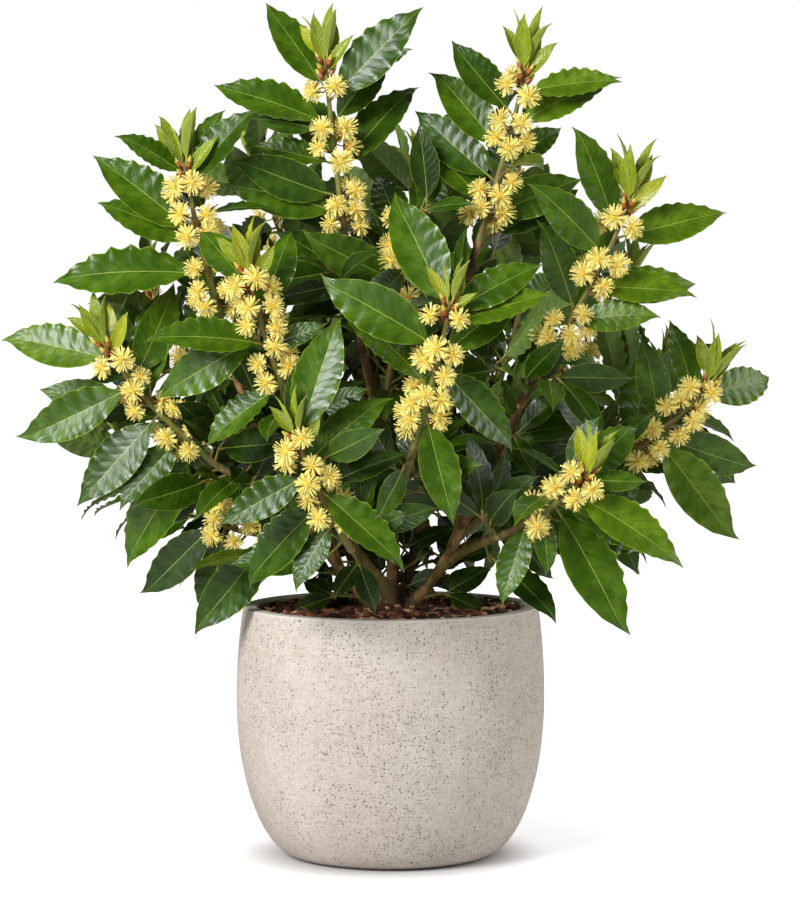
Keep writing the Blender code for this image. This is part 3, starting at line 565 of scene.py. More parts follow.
# %% [markdown]
# A leaf is described by where it starts, which way it goes, which way its upper side faces, its length, its
# width and how far its tip bends down.

# %% A leaf, and whether it fits
LEAF_WIDTH = 0.38
LEAF_THICKNESS = 0.015
PETIOLE_RADIUS = 0.8 * MM
LEAF_STATIONS = ((0.30, 0.93), (0.66, 0.76))
YOUNG_STATIONS = ((0.45, 1.0),)
LEAF_CLEAR = 0.6 * MM
BLADE_START = 0.16  # the share of a leaf's length where it has left its twig
LOWEST_LEAF = 150 * MM
CROWN_RADIUS = 338 * MM
TWIG_SIDES = 3
UMBEL_REACH = 23 * MM
UMBEL_FOOT = 0.35  # the share of a flower cluster's stalk that may touch its own twig and leaves
UMBEL_RADIUS = 10 * MM
UMBEL_SIDES = 4

Leaf = namedtuple("Leaf", "root way normal length width curl")


def front_of(shoot):
    """Which way a shoot faces: to the front for the front shoots, and outwards for the others."""
    x, y, _ = shoot.tip
    if shoot.leaves:
        return Vector((0, -1, 0))
    return Vector((x, y, 0)).normalized()


def clock_way(hour, front, lean):
    """A direction by its clock hour as seen from the front, leaning out of that plane by an angle."""
    angle = math.radians(30 * hour)
    right = UP.cross(front)
    return math.cos(lean) * (math.sin(angle) * right + math.cos(angle) * UP) + math.sin(lean) * front


def upper_side(way, front, roll):
    """The normal of a blade that turns its upper side to the light and to the front."""
    light = 0.45 * UP + 0.9 * front
    normal = (light - light.dot(way) * way).normalized()
    return Quaternion(way, roll) @ normal


def leaf_frame(leaf, t):
    """The midrib's point, its direction and the blade's normal at a share of its arc."""
    turn = leaf.curl * t
    ahead = leaf.length * math.sin(turn) / leaf.curl
    down = leaf.length * (1 - math.cos(turn)) / leaf.curl
    point = leaf.root + leaf.way * ahead - leaf.normal * down
    way = leaf.way * math.cos(turn) - leaf.normal * math.sin(turn)
    normal = leaf.normal * math.cos(turn) + leaf.way * math.sin(turn)
    return point, way, normal


def leaf_shape(leaf, stations=LEAF_STATIONS, grow=0.0, start=0.0):
    """A blade of three-sided sections, flat above with its keel below; grown for the room that it keeps."""
    rings = []
    for t, share in ((start, 0.0), *stations):
        point, way, normal = leaf_frame(leaf, t)
        across = way.cross(normal)
        half = max(leaf.width / 2 * share, PETIOLE_RADIUS) + grow
        keel = (LEAF_THICKNESS * leaf.length if share else PETIOLE_RADIUS) + grow
        ring = [point - across * half, point - normal * keel, point + across * half]
        if grow:
            ring.append(point + normal * grow)
        rings.append(ring)
    tip, way, _ = leaf_frame(leaf, 1)
    return loft(rings, apex=tip + way * grow)


def fits(leaf, owner, stations=LEAF_STATIONS):
    """Whether a leaf keeps clear of the limbs, the pot and the leaves of its own and other shoots."""
    tip = leaf_frame(leaf, 1)[0]
    if tip.z < LOWEST_LEAF or math.hypot(tip.x, tip.y) > CROWN_RADIUS:
        return False
    if blocked(leaf_shape(leaf, stations, LEAF_CLEAR), skip=(owner + "_twig", owner + "_leaf")):
        return False
    return not blocked(leaf_shape(leaf, stations, LEAF_CLEAR, start=BLADE_START), owners=(owner + "_leaf",))


print("a leaf keeps", LEAF_CLEAR / MM, "mm clear")


# %% The room of twigs and flower clusters
def ring_round(centre, way, across, radius, sides):
    """Points round a direction, from a first one across it."""
    return [centre + (Quaternion(way, FULL_TURN * k / sides) @ across) * radius for k in range(sides)]


def twig_shape(path, thick, thin, grow=0.0):
    last = len(path) - 1
    across = (path[1] - path[0]).orthogonal().normalized()
    rings = []
    for k, point in enumerate(path):
        way = (path[min(k + 1, last)] - path[max(k - 1, 0)]).normalized()
        across = (across - across.dot(way) * way).normalized()
        rings.append(ring_round(point, way, across, thick + (thin - thick) * k / last + grow, TWIG_SIDES))
    return loft(rings)


def umbel_shape(root, out, start=0.0):
    """The room of a flower cluster and its stalk."""
    middle = root + out * 0.62 * UMBEL_REACH
    ring = ring_round(middle, out, out.orthogonal().normalized(), UMBEL_RADIUS, UMBEL_SIDES)
    return loft([ring], start_apex=root + out * start * UMBEL_REACH, apex=root + out * UMBEL_REACH)


print("a flower cluster reaches", UMBEL_REACH / MM, "mm from its twig")

# %% [markdown]
# ## The rule of growth
#
# Bay leaves stand one by one up the twig, each turned from the last by the golden angle, 137.5 degrees, so
# that none shades the next. The leaves that show most are given one by one, as a grower would turn a plant's
# best side to the front. Flower clusters sit in the angles between leaf and twig.

# %% One shoot while it grows
GOLDEN_ANGLE = math.radians(137.5)
LEAF_TRIES = 7


class Growth:
    """A shoot, with the twigs, leaves and flower clusters that have found their place."""

    def __init__(self, name):
        self.name = name
        self.shoot = SHOOTS[name]
        self.front = front_of(self.shoot)
        start_way, self.tip_way = shoot_ways(self.shoot)
        base = Vector(self.shoot.base) * MM + start_way * CLEAR
        self.tip = Vector(self.shoot.tip) * MM
        self.ends = (base, start_way, self.tip, self.tip_way)
        self.path = limb_path(*self.ends, TWIG_SEGMENTS)
        self.twigs, self.spurs, self.umbels = [], [], []
        self.leaves, self.small_leaves, self.young = [], [], []
        self.twig_parts = (name + "_twig",)
        self.own_parts = (name + "_twig", name + "_leaf", name + "_umbel")
        keep(name + "_twig", twig_shape(self.path, LIMB_TIP_RADIUS, TWIG_TIP_RADIUS))

    def add_leaf(self, leaf, leaves, stations=LEAF_STATIONS):
        """Keeps a leaf in one of the shoot's lists, if it fits."""
        if not fits(leaf, self.name, stations):
            return False
        keep(self.name + "_leaf", leaf_shape(leaf, stations))
        leaves.append(leaf)
        return True

    def add_umbel(self, root, out):
        """Keeps a flower cluster where only its foot may touch the shoot's own parts."""
        if blocked(umbel_shape(root, out), skip=self.own_parts):
            return False
        if blocked(umbel_shape(root, out, UMBEL_FOOT)):
            return False
        keep(self.name + "_umbel", umbel_shape(root, out))
        self.umbels.append((root, out))
        return True


def count_of(kind):
    return sum(len(getattr(growth, kind)) for growth in growths)


growths = [Growth(name) for name in SHOOTS]
print("shoots that grow:", len(growths))

# %% Side twigs
SIDE_TWIG_LENGTHS = (42, 56)  # mm


def grow_side_twig(growth, number):
    chance = random.Random(f"{growth.name} side twig {number}")
    root, way = point_on(growth.path, 0.22 + 0.2 * number)
    for _ in range(LEAF_TRIES):
        out = (0.6 * way + aside(way, chance.uniform(0, FULL_TURN))).normalized()
        end = root + out * chance.uniform(*SIDE_TWIG_LENGTHS) * MM
        path = [root, root.lerp(end, 0.5) - 1.5 * MM * UP, end]
        if not blocked(twig_shape(path, *SIDE_TWIG_RADII, LEAF_CLEAR), skip=growth.twig_parts):
            keep(growth.name + "_twig", twig_shape(path, *SIDE_TWIG_RADII))
            growth.twigs.append(path)
            return


for growth in growths:
    for number in range(growth.shoot.side_twigs):
        grow_side_twig(growth, number)
print("side twigs:", count_of("twigs"))

# %% Tufts
TUFT_ANGLES = (-33, -11, 12, 33)
TUFT_LEANS = (-12, 14)  # every second leaf leans to the front, and the others to the back
OUTER_SHARE = 0.88  # how long the outer leaves are beside the inner ones
YOUNG_WIDTH = 0.3


def grow_tuft(growth):
    """Young leaves stand up from the tip in a fan, the inner ones the longest."""
    chance = random.Random(growth.name + " tuft")
    upright = (growth.tip_way + 0.8 * UP).normalized()
    for number, angle in enumerate(TUFT_ANGLES[0 if growth.shoot.leaves else 1:]):
        turn = math.radians(angle + chance.uniform(-5, 5))
        way = Quaternion(growth.front, -turn) @ upright
        way = Quaternion(UP.cross(growth.front), math.radians(TUFT_LEANS[number % 2])) @ way
        share = 1.0 if abs(angle) < 20 else OUTER_SHARE
        length = growth.shoot.tuft * MM * share * chance.uniform(0.95, 1.05)
        normal = upper_side(way, growth.front, chance.uniform(-0.4, 0.4))
        root = growth.tip - growth.tip_way * (1 + 4 * number) * MM
        leaf = Leaf(root, way, normal, length, YOUNG_WIDTH * length, chance.uniform(0.1, 0.3))
        growth.add_leaf(leaf, growth.young, YOUNG_STATIONS)


for growth in growths:
    if not growth.name.startswith(("inner", "under")):
        grow_tuft(growth)
print("young leaves:", count_of("young"))

# %% Chosen leaves
PLACED_LENGTH = 1.12


def grow_placed_leaf(growth, number, down, hour, length):
    """A chosen leaf: where it is blocked it leans another way before it is given up."""
    chance = random.Random(f"{growth.name} leaf {number}")
    root = point_on(growth.path, 1 - down)[0]
    for _ in range(2 * LEAF_TRIES):
        lean = chance.uniform(-0.32, 0.40)
        way = clock_way(hour + chance.uniform(-0.08, 0.08), growth.front, lean)
        normal = upper_side(way, growth.front, chance.uniform(-0.3, 0.3))
        size = PLACED_LENGTH * length * MM / math.cos(lean)
        width = LEAF_WIDTH * size * chance.uniform(0.95, 1.05)
        if growth.add_leaf(Leaf(root, way, normal, size, width, chance.uniform(0.10, 0.40)), growth.leaves):
            return


for growth in growths:
    for number, chosen in enumerate(growth.shoot.leaves):
        grow_placed_leaf(growth, number, *chosen)
print("chosen leaves:", count_of("leaves"))

# %% Flower clusters
UMBEL_PLACES = (0.15, 0.36, 0.44, 0.67, 0.75, 0.84)  # down the twig: three whorls with bare wood between


def grow_umbel(growth, number, down, chance):
    """A flower cluster on a short stalk, to one side of the twig and a little to its front."""
    root, way = point_on(growth.path, 1 - down)
    across = way.cross(growth.front).normalized() * (1 if number % 2 else -1)
    out = (across + growth.front * chance.uniform(0.35, 0.9) + way * 0.35).normalized()
    for _ in range(2 * LEAF_TRIES):
        if growth.add_umbel(root, out):
            return
        bend = across * chance.uniform(-0.3, 0.5) + growth.front * chance.uniform(-0.5, 0.6)
        out = (out + bend + way * chance.uniform(-0.5, 0.5)).normalized()


for growth in growths:
    chance = random.Random(growth.name + " flowers")
    for number, down in enumerate(UMBEL_PLACES[:growth.shoot.umbels]):
        grow_umbel(growth, number, down, chance)
print("flower clusters:", count_of("umbels"))

# %% The spiral of leaves
LEAF_LENGTHS = (78 * MM, 112 * MM)
FRONT_LEAN = 0.45  # a spiral leaf that comes further forward would hide the chosen ones
OPEN_ANGLES = (42, 68)  # degrees between a leaf and its twig


def grow_spiral_leaf(growth, number):
    """One leaf of the spiral: by the golden angle down the twig, smaller near the tip."""
    paths_here = [growth.path] + growth.twigs
    path = paths_here[number % len(paths_here)]
    chance = random.Random(f"{growth.name} spiral {number}")
    share = (number + 0.5) / growth.shoot.spiral
    down = 0.06 + 0.86 * share if path is growth.path else 0.5 * share
    root, along = point_on(path, 1 - down)
    start = random.Random(growth.name + " start").uniform(0, FULL_TURN)
    for attempt in range(LEAF_TRIES):
        side = aside(along, start + GOLDEN_ANGLE * number + attempt * chance.uniform(0.3, 0.9))
        open_angle = math.radians(chance.uniform(*OPEN_ANGLES))
        way = (along * math.cos(open_angle) + side * math.sin(open_angle)).normalized()
        if growth.shoot.leaves and way.dot(growth.front) > FRONT_LEAN:
            continue
        low, high = LEAF_LENGTHS
        length = low + (high - low) * (0.25 + 0.75 * share) * chance.uniform(0.8, 1.0)
        normal = upper_side(way, growth.front, chance.uniform(-0.5, 0.5))
        width = LEAF_WIDTH * length * chance.uniform(0.95, 1.05)
        if growth.add_leaf(Leaf(root, way, normal, length, width, chance.uniform(0.15, 0.55)), growth.leaves):
            return


for number in range(max(growth.shoot.spiral for growth in growths)):
    for growth in growths:
        if number < growth.shoot.spiral:
            grow_spiral_leaf(growth, number)
print("leaves:", count_of("leaves"))

# %% [markdown]
# ## Finer growth
#
# A real bush is fuller than the solids: between the chosen leaves are short spurs with smaller leaves, the
# tufts have a few more leaves, and flower clusters stand two or three together. The same test decides what
# fits. Where a gap between two shoots lets the light through, or shows the stems, it stays open: such a place
# is a pipe along Y that leaves keep out of.

# %% Places that stay open
RIM_BAND = (88 * MM, 172 * MM, 236 * MM)  # the band over the pot's rim that spurs leave: radii and height
OPEN_PLACES = ((0, 240, 56, 24), (46, 262, 42, 24), (-40, 262, 28, 24))  # x, z, radius and furthest y, in mm
INSIDE = 4 * MM  # how far a spur's leaf stays inside the solids' box


def in_the_open(leaf):
    """Whether a leaf would close one of the gaps that let the light through."""
    for t in (0.2, 0.45, 0.7, 1.0):
        point = leaf_frame(leaf, t)[0] / MM
        if any(math.hypot(point.x - x, point.z - z) < wide and point.y < y for x, z, wide, y in OPEN_PLACES):
            return True
        near, far, top = (value / MM for value in RIM_BAND)
        if near < math.hypot(point.x, point.y) < far and point.z < top and point.y < near:
            return True
    return False


def within_reach(leaf):
    tip = leaf_frame(leaf, 1)[0]
    return all(low + INSIDE < value < high - INSIDE for low, value, high in zip(solid_low, tip, solid_high))


print("places that stay open:", len(OPEN_PLACES) + 1)

# %% Sprigs at the stems' feet
LOW_SPRIGS = (  # the shoot and the stem that each belongs to, its end and the tips of its leaves, in mm
    ("under_left", "shoulder_left", 0.035, (-48, -16, 223), ((-86, -30, 213), (-78, 8, 238))),
    ("low_right", "shoulder_right", 0.035, (46, -16, 225), ((86, -26, 211), (88, -6, 250))),
    ("low_front", "low_front", 0.55, (-26, -128, 262), ((-10, -140, 222), (-46, -150, 236))),
)
SMALL_WIDTH = 0.46
FOOT_SPRIGS = 60  # tries
FOOT_REACH = 100 * MM  # how far from the middle a foot sprig may end
FOOT_LEAF_LENGTHS = (26, 46)  # mm
growth_of = {growth.name: growth for growth in growths}


def grow_low_sprig(growth, limb, share, end, tips):
    """A twig that leaves a limb near its foot and holds a few leaves just over the mulch."""
    chance = random.Random(growth.name + " low sprig")
    root, _ = point_on(limbs[limb].coarse, share)
    end = Vector(end) * MM
    growth.spurs.append([root, root.lerp(end, 0.5) + 2 * MM * UP, end])
    for tip in tips:
        reach = Vector(tip) * MM - end
        way = reach.normalized()
        normal = upper_side(way, growth.front, chance.uniform(-0.3, 0.3))
        leaf = Leaf(end - way * MM, way, normal, reach.length, SMALL_WIDTH * reach.length, 0.25)
        growth.add_leaf(leaf, growth.small_leaves)


def grow_foot_sprig(number):
    """A short twig with small leaves behind the stems' feet, where the light comes through in spots."""
    chance = random.Random(f"foot sprig {number}")
    stem = chance.choice(tuple(shoot_name for shoot_name, *_ in STEMS.values()))
    root, _ = point_on(limbs[stem].coarse, chance.uniform(0.03, 0.26))
    out = Vector((chance.uniform(-1, 1), chance.uniform(-0.2, 1), chance.uniform(-0.2, 0.6))).normalized()
    end = root + out * chance.uniform(16, 36) * MM
    if end.z < MULCH_TOP + 8 * MM or math.hypot(end.x, end.y) > FOOT_REACH:
        return
    growth = growth_of["inner_low_left" if end.x < 0 else "inner_low_right"]
    kept = []
    for turn in range(4):
        side = aside(out, GOLDEN_ANGLE * turn + chance.uniform(-0.4, 0.4))
        way = (out + side * chance.uniform(0.4, 1.1)).normalized()
        length = chance.uniform(*FOOT_LEAF_LENGTHS) * MM
        normal = upper_side(way, Vector((0, -1, 0)), chance.uniform(-0.5, 0.5))
        root_here = root.lerp(end, 0.7 + 0.1 * turn)
        leaf = Leaf(root_here, way, normal, length, SMALL_WIDTH * length, chance.uniform(0.2, 0.5))
        tip = leaf_frame(leaf, 1)[0]
        if tip.z > MULCH_TOP + 2 * MM and tip.y > -8 * MM:
            growth.add_leaf(leaf, kept)
    if kept:
        growth.spurs.append([root, root.lerp(end, 0.5) + MM * UP, end])
        growth.small_leaves.extend(kept)


for shoot_name, *sprig in LOW_SPRIGS:
    grow_low_sprig(growth_of[shoot_name], *sprig)
for number in range(FOOT_SPRIGS):
    grow_foot_sprig(number)
print("small leaves at the stems' feet:", count_of("small_leaves"))

# %% More flowers, and the middle of each tuft
BALL_GAP = 12.5 * MM
WHORLS = ((0.15, 0.03), (0.40, 0.07), (0.76, 0.11))  # where clusters crowd down a twig, and how widely
WHORL_SHARES = (1, 2, 3)
MORE_UMBELS = (36, 10)  # tries on a chosen shoot and on another one that flowers
INNER_WIDTH = 0.24


def grow_more_umbels(growth, wanted):
    """Clusters between the rule's own ones, first beside them and then on the other side of the twig."""
    chance = random.Random(growth.name + " more flowers")
    for number in range(wanted):
        place, spread = chance.choices(WHORLS, WHORL_SHARES)[0]
        root, way = point_on(growth.path, 1 - (place + chance.uniform(-spread, spread)))
        across = way.cross(growth.front).normalized() * (-1 if number % 2 else 1)
        for _ in range(4 * LEAF_TRIES):
            out = across * chance.uniform(0.2, 1) + growth.front * chance.uniform(-0.3, 1)
            out = (out + way * chance.uniform(-0.3, 0.7)).normalized()
            ball = root + out * UMBEL_REACH
            if any((ball - foot - rise * UMBEL_REACH).length < BALL_GAP for foot, rise in growth.umbels):
                continue
            if growth.add_umbel(root, out):
                break


def grow_inner_tuft(growth):
    """The small folded leaves in the middle of a tuft."""
    chance = random.Random(growth.name + " inner tuft")
    upright = (growth.tip_way + 0.6 * UP).normalized()
    for number in range(3):
        side = aside(upright, GOLDEN_ANGLE * number + chance.uniform(-0.3, 0.3))
        way = (upright + side * (0.08 + 0.1 * number)).normalized()
        length = growth.shoot.tuft * MM * chance.uniform(0.9, 1.15)
        normal = upper_side(way, -side, chance.uniform(-0.3, 0.3))
        root = growth.tip - growth.tip_way * 2 * MM + side * 1.2 * MM
        growth.young.append(Leaf(root, way, normal, length, INNER_WIDTH * length, chance.uniform(0.1, 0.5)))


for growth in growths:
    shoot = growth.shoot
    grow_more_umbels(growth, MORE_UMBELS[0] if shoot.leaves else MORE_UMBELS[1] if shoot.umbels else 0)
    if growth.young:
        grow_inner_tuft(growth)
print("flower clusters now:", count_of("umbels"))

# %% Spurs
SPUR_LENGTHS = (16 * MM, 34 * MM)
SPUR_LEAF_LENGTHS = (50 * MM, 86 * MM)
SPUR_LEAVES = 3
SPUR_RADII = (1.3 * MM, 1.3 * MM * 0.7)
SPUR_ANGLES = (30, 62)  # degrees between a leaf and its spur
TWIG_SPURS = (0.35, 0.62, 0.16, 0.86, 0.48)  # shares up the twig
LIMB_SPURS = (0.92, 0.74, 0.56, 0.83, 0.65, 0.97, 0.46)  # shares up the limb
LOWEST_SPUR = 250 * MM
limb_parts = {owner for owner, *_ in placed if owner.startswith(("stem_", "bough_"))}


def grow_spur(growth, path, share, seed):
    """A short side twig with a few small leaves round its tip."""
    chance = random.Random(seed)
    root, along = point_on(path, share)
    for _ in range(LEAF_TRIES):
        side = aside(along, chance.uniform(0, FULL_TURN))
        out = (side + along * chance.uniform(0.3, 0.9) + UP * 0.25).normalized()
        end = root + out * chance.uniform(*SPUR_LENGTHS)
        spur = [root, root.lerp(end, 0.5) + out.orthogonal() * MM, end]
        if blocked(twig_shape(spur, *SPUR_RADII, LEAF_CLEAR), skip=limb_parts.union(growth.twig_parts)):
            continue
        kept = []
        for number in range(SPUR_LEAVES + 2):
            if len(kept) == SPUR_LEAVES:
                break
            spread = aside(out, GOLDEN_ANGLE * number + chance.uniform(-0.4, 0.4))
            open_angle = math.radians(chance.uniform(*SPUR_ANGLES))
            way = (out * math.cos(open_angle) + spread * math.sin(open_angle) + UP * 0.1).normalized()
            length = chance.uniform(*SPUR_LEAF_LENGTHS)
            normal = upper_side(way, growth.front, chance.uniform(-1.1, 1.1))
            root_here = root.lerp(end, 0.55 + 0.4 * number / (SPUR_LEAVES + 1))
            leaf = Leaf(root_here, way, normal, length, LEAF_WIDTH * length, chance.uniform(0.2, 0.6))
            if within_reach(leaf) and not in_the_open(leaf):
                growth.add_leaf(leaf, kept)
        if kept:
            keep(growth.name + "_twig", twig_shape(spur, *SPUR_RADII))
            growth.spurs.append(spur)
            growth.small_leaves.extend(kept)
            return


for round_number, share in enumerate(TWIG_SPURS):
    for growth in growths:
        grow_spur(growth, growth.path, share, f"{growth.name} spur {round_number}")
for round_number, share in enumerate(LIMB_SPURS):
    for growth in growths:
        if point_on(limbs[growth.name].coarse, share)[0].z >= LOWEST_SPUR:
            grow_spur(growth, limbs[growth.name].coarse, share, f"{growth.name} limb spur {round_number}")
print("small leaves:", count_of("small_leaves"))

# %% [markdown]
# ## Meshes from arrays
#
# Hundreds of leaves that are an object each would be slow, so they are joined meshes: the points of each leaf
# are worked out with numpy, and every copy shares one list of faces. Nearly everything on the plant is a tube
# whose rings change: a leaf is a very flat one, a stem a round one, a pot a hollow one.

# %% The faces of a tube
MAP_NAME = "OFBake"

Faces = namedtuple("Faces", "quads tris quad_finish tri_finish quad_places tri_places")


def tube_faces(rings, sides, finish=0, finish_of=None, places=None):
    """The faces of a closed tube: rings of points, then a point that closes each end. Each strip along it can
    have its own finish, and its two edges their places across the map."""
    k = np.arange(sides)
    after = (k + 1) % sides
    row = np.arange(rings - 1)[:, None] * sides
    quads = np.stack([row + k, row + after, row + sides + after, row + sides + k], 2).reshape(-1, 4)
    last = (rings - 1) * sides
    start, end = rings * sides, rings * sides + 1
    tris = np.concatenate([
        np.stack([after, k, np.full(sides, start)], 1),
        np.stack([last + k, last + after, np.full(sides, end)], 1),
    ])
    strip = np.array(finish_of) if finish_of is not None else np.full(sides, finish)
    quad_finish = np.tile(strip, rings - 1)
    tri_finish = np.tile(strip, 2)
    if places is None:
        return Faces(quads, tris, quad_finish, tri_finish, None, None)
    left, right = places  # per strip, the u of its two edges
    low = (np.arange(rings - 1) + 0.5) / rings
    high = (np.arange(rings - 1) + 1.5) / rings
    u = np.stack([left, right, right, left], 1)[None].repeat(rings - 1, 0)
    v = np.stack([low, low, high, high], 1)[:, None].repeat(sides, 1)
    quad_places = np.stack([u, v], 3).reshape(-1, 4, 2)
    middle = (left + right) / 2
    first_row, last_row = np.full(sides, low[0]), np.full(sides, high[-1])
    tri_places = np.concatenate([
        np.stack([np.stack([right, left, middle], 1), np.stack([first_row, first_row, 0 * middle], 1)], 2),
        np.stack([np.stack([left, right, middle], 1), np.stack([last_row, last_row, 0 * middle + 1], 1)], 2),
    ])
    return Faces(quads, tris, quad_finish, tri_finish, quad_places, tri_places)


print("a tube of 4 rings of 6 points has", len(tube_faces(4, 6).quads), "four-cornered faces")


# %% Joined meshes
class Batch:
    """Many closed shapes that become one mesh."""

    def __init__(self):
        self.points, self.quads, self.tris, self.finishes, self.places = [], [], [], ([], []), ([], [])
        self.count = 0

    def add(self, points, faces):
        self.points.append(points)
        self.quads.append(faces.quads + self.count)
        self.tris.append(faces.tris + self.count)
        self.finishes[0].append(faces.quad_finish)
        self.finishes[1].append(faces.tri_finish)
        if faces.quad_places is not None:
            self.places[0].append(faces.quad_places.reshape(-1, 2))
            self.places[1].append(faces.tri_places.reshape(-1, 2))
        self.count += len(points)

    def mesh(self, name, sharp=50):
        """The joined mesh, smooth but for edges that are sharper than some degrees."""
        points = np.concatenate(self.points)
        quads, tris = np.concatenate(self.quads), np.concatenate(self.tris)
        corners = np.concatenate([quads.ravel(), tris.ravel()])
        starts = np.concatenate([4 * np.arange(len(quads)), 4 * len(quads) + 3 * np.arange(len(tris))])
        mesh = bpy.data.meshes.new(name)
        mesh.vertices.add(len(points))
        mesh.vertices.foreach_set("co", points.astype(np.float32).ravel())
        mesh.loops.add(len(corners))
        mesh.loops.foreach_set("vertex_index", corners.astype(np.int32))
        mesh.polygons.add(len(starts))
        mesh.polygons.foreach_set("loop_start", starts.astype(np.int32))
        finish = np.concatenate([np.concatenate(self.finishes[0]), np.concatenate(self.finishes[1])])
        mesh.polygons.foreach_set("material_index", finish.astype(np.int32))
        if self.places[0]:
            layer = mesh.uv_layers.new(name=MAP_NAME)
            places = np.concatenate(self.places[0] + self.places[1])
            layer.uv.foreach_set("vector", places.astype(np.float32).ravel())
        mesh.update(calc_edges=True)
        mesh.polygons.foreach_set("use_smooth", np.ones(len(starts), bool))
        mesh.set_sharp_from_angle(angle=math.radians(sharp))
        return mesh


batches = defaultdict(Batch)  # by the name of the piece that each becomes
print("a batch is ready for each piece")

# %% A tube along a path
END_ROUND = 0.3  # how far the point that closes a tube stands out, of its radius


def tube_points(path, radii, sides, relief=None, turn=0.0):
    """Points round a path. relief gives each point's share of its ring's radius, as rings by sides."""
    path = np.array(path)
    radii = np.broadcast_to(np.asarray(radii, float), (len(path),))
    ways = np.gradient(path, axis=0)
    ways /= np.linalg.norm(ways, axis=1)[:, None]
    across = np.array(Vector(ways[0]).orthogonal().normalized())
    angles = np.arange(sides) / sides * FULL_TURN + turn
    if relief is None:
        relief = np.ones((len(path), sides))
    rings = []
    for centre, way, radius, shares in zip(path, ways, radii, relief):
        across = across - across.dot(way) * way
        across /= np.linalg.norm(across)
        up = np.cross(way, across)
        out = np.cos(angles)[:, None] * across + np.sin(angles)[:, None] * up
        rings.append(centre + out * (radius * shares)[:, None])
    start = path[0] - ways[0] * radii[0] * END_ROUND
    end = path[-1] + ways[-1] * radii[-1] * END_ROUND
    return np.concatenate([*rings, start[None], end[None]])


print("a tube's ends stand out by", END_ROUND, "of its radius")

# %% Pieces and regions
REGIONS = ("front_left", "front_right", "back_left", "back_right")


def region_of(shoot_name):
    x, y, _ = SHOOTS[shoot_name].tip
    return ("front" if y < 0 else "back") + ("_left" if x < 0 else "_right")


def masses_in(region):
    """The masses of foliage whose shoots end in a region."""
    return ["foliage_" + name for name in SHOOTS if region_of(name) == region]


def add_piece(name, materials, replaced, sharp=50):
    """Puts a batch in the scene as one mesh, in place of the solids that it stands for."""
    mesh = batches[name].mesh(name, sharp)
    for material in materials:
        mesh.materials.append(material)
    piece = into_scene(bpy.data.objects.new(name, mesh))
    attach(piece, "root")
    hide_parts(*replaced)
    print(f"{name}: {sum(polygon.loop_total - 2 for polygon in mesh.polygons)} triangles")


print("regions of the crown:", ", ".join(REGIONS))

# %% [markdown]
# ## Leaves
#
# A bay leaf is leathery: glossy and deep green above, pale and matt below. A yellow-green midrib runs to a
# drawn-out tip, about ten pairs of side veins bend up towards the margin, and the margin itself is thin and
# wavy. The waves and the fold along the midrib are in the mesh, because they make the outline and catch the
# light. The veins are too fine for that, so they are drawn by a node group on the leaf's own map.
#
# All leaves lie on one another in that map, in a column for each tint, so a single drawing serves them all.

# %% Node groups
def new_group(name, **inputs):
    """An empty shader node group, and its inputs as wires."""
    group = bpy.data.node_groups.new(name, "ShaderNodeTree")
    for socket_name, value in inputs.items():
        made = group.interface.new_socket(socket_name, in_out="INPUT", socket_type="NodeSocketFloat")
        made.default_value = value
    start = group.nodes.new("NodeGroupInput")
    return group, {socket.name: Wire(group, socket) for socket in start.outputs}


def put_out(group, **outputs):
    """Ends a node group with named outputs."""
    for name in outputs:
        group.interface.new_socket(name, in_out="OUTPUT", socket_type="NodeSocketFloat")
    end = group.nodes.new("NodeGroupOutput")
    for name, value in outputs.items():
        feed(group, end.inputs[name], value)
    print(group.name, "has", len(group.nodes), "nodes")


def use_group(tree, group, **inputs):
    """Places a node group with its own values, and gives its outputs as wires."""
    made = add_node(tree, "Group", {"node_tree": group}, **inputs)
    return {socket.name: Wire(tree, socket) for socket in made.outputs}


def parts_of(vector):
    """The X, Y and Z of a wire."""
    apart = add_node(vector.tree, "SeparateXYZ", Vector=vector)
    return [Wire(vector.tree, socket) for socket in apart.outputs]


def leaf_map(tree):
    """The place on the map of leaves."""
    return parts_of(wire(tree, "UVMap", 0, {"uv_map": MAP_NAME}))


print("a group's inputs and outputs are wires too")

# %% Vein pattern
COLUMNS = 6
COLUMN_HALF = 0.47
FLAT = {"noise_dimensions": "2D"}

veins, given = new_group("leaf_veins", Pairs=10.0, Width=0.085)
across_columns, up_leaf, _ = leaf_map(veins)
side = ((across_columns * COLUMNS).fract() - 0.5) / COLUMN_HALF
out = abs(side)
spot = wire(veins, "CombineXYZ", X=side, Y=up_leaf * 5.0)
wobble = noise(spot, 1.6, 2.0, FLAT)
slant = out * 0.15 + out**2 * 0.06
phase = (up_leaf - slant) * given["Pairs"] + (side > 0.0) * 0.42 + wobble * 0.9
off = abs(phase.fract() - 0.5)
line = 1 - (off / (given["Width"] * (1.25 - out * 0.8))).step(0.25, 1.0)
net = wire(veins, "TexVoronoi", "Distance", {"voronoi_dimensions": "2D", "feature": "DISTANCE_TO_EDGE"},
           Vector=spot, Scale=9.0)
net = 1 - net.step(0.0, 0.07)
bulge = (off * 2.0) ** 0.6 * (1 - out**5)
tone = noise(spot, 1.1, 5.0, FLAT)
put_out(veins, Vein=line * (1 - out.step(0.72, 0.97)), Midrib=1 - out.step(0.018, 0.042), Net=net,
        Margin=out.step(0.955, 0.985), Edge=out.step(0.74, 0.90), Height=bulge - net * 0.08,
        Tone=tone.step(0.3, 0.7))


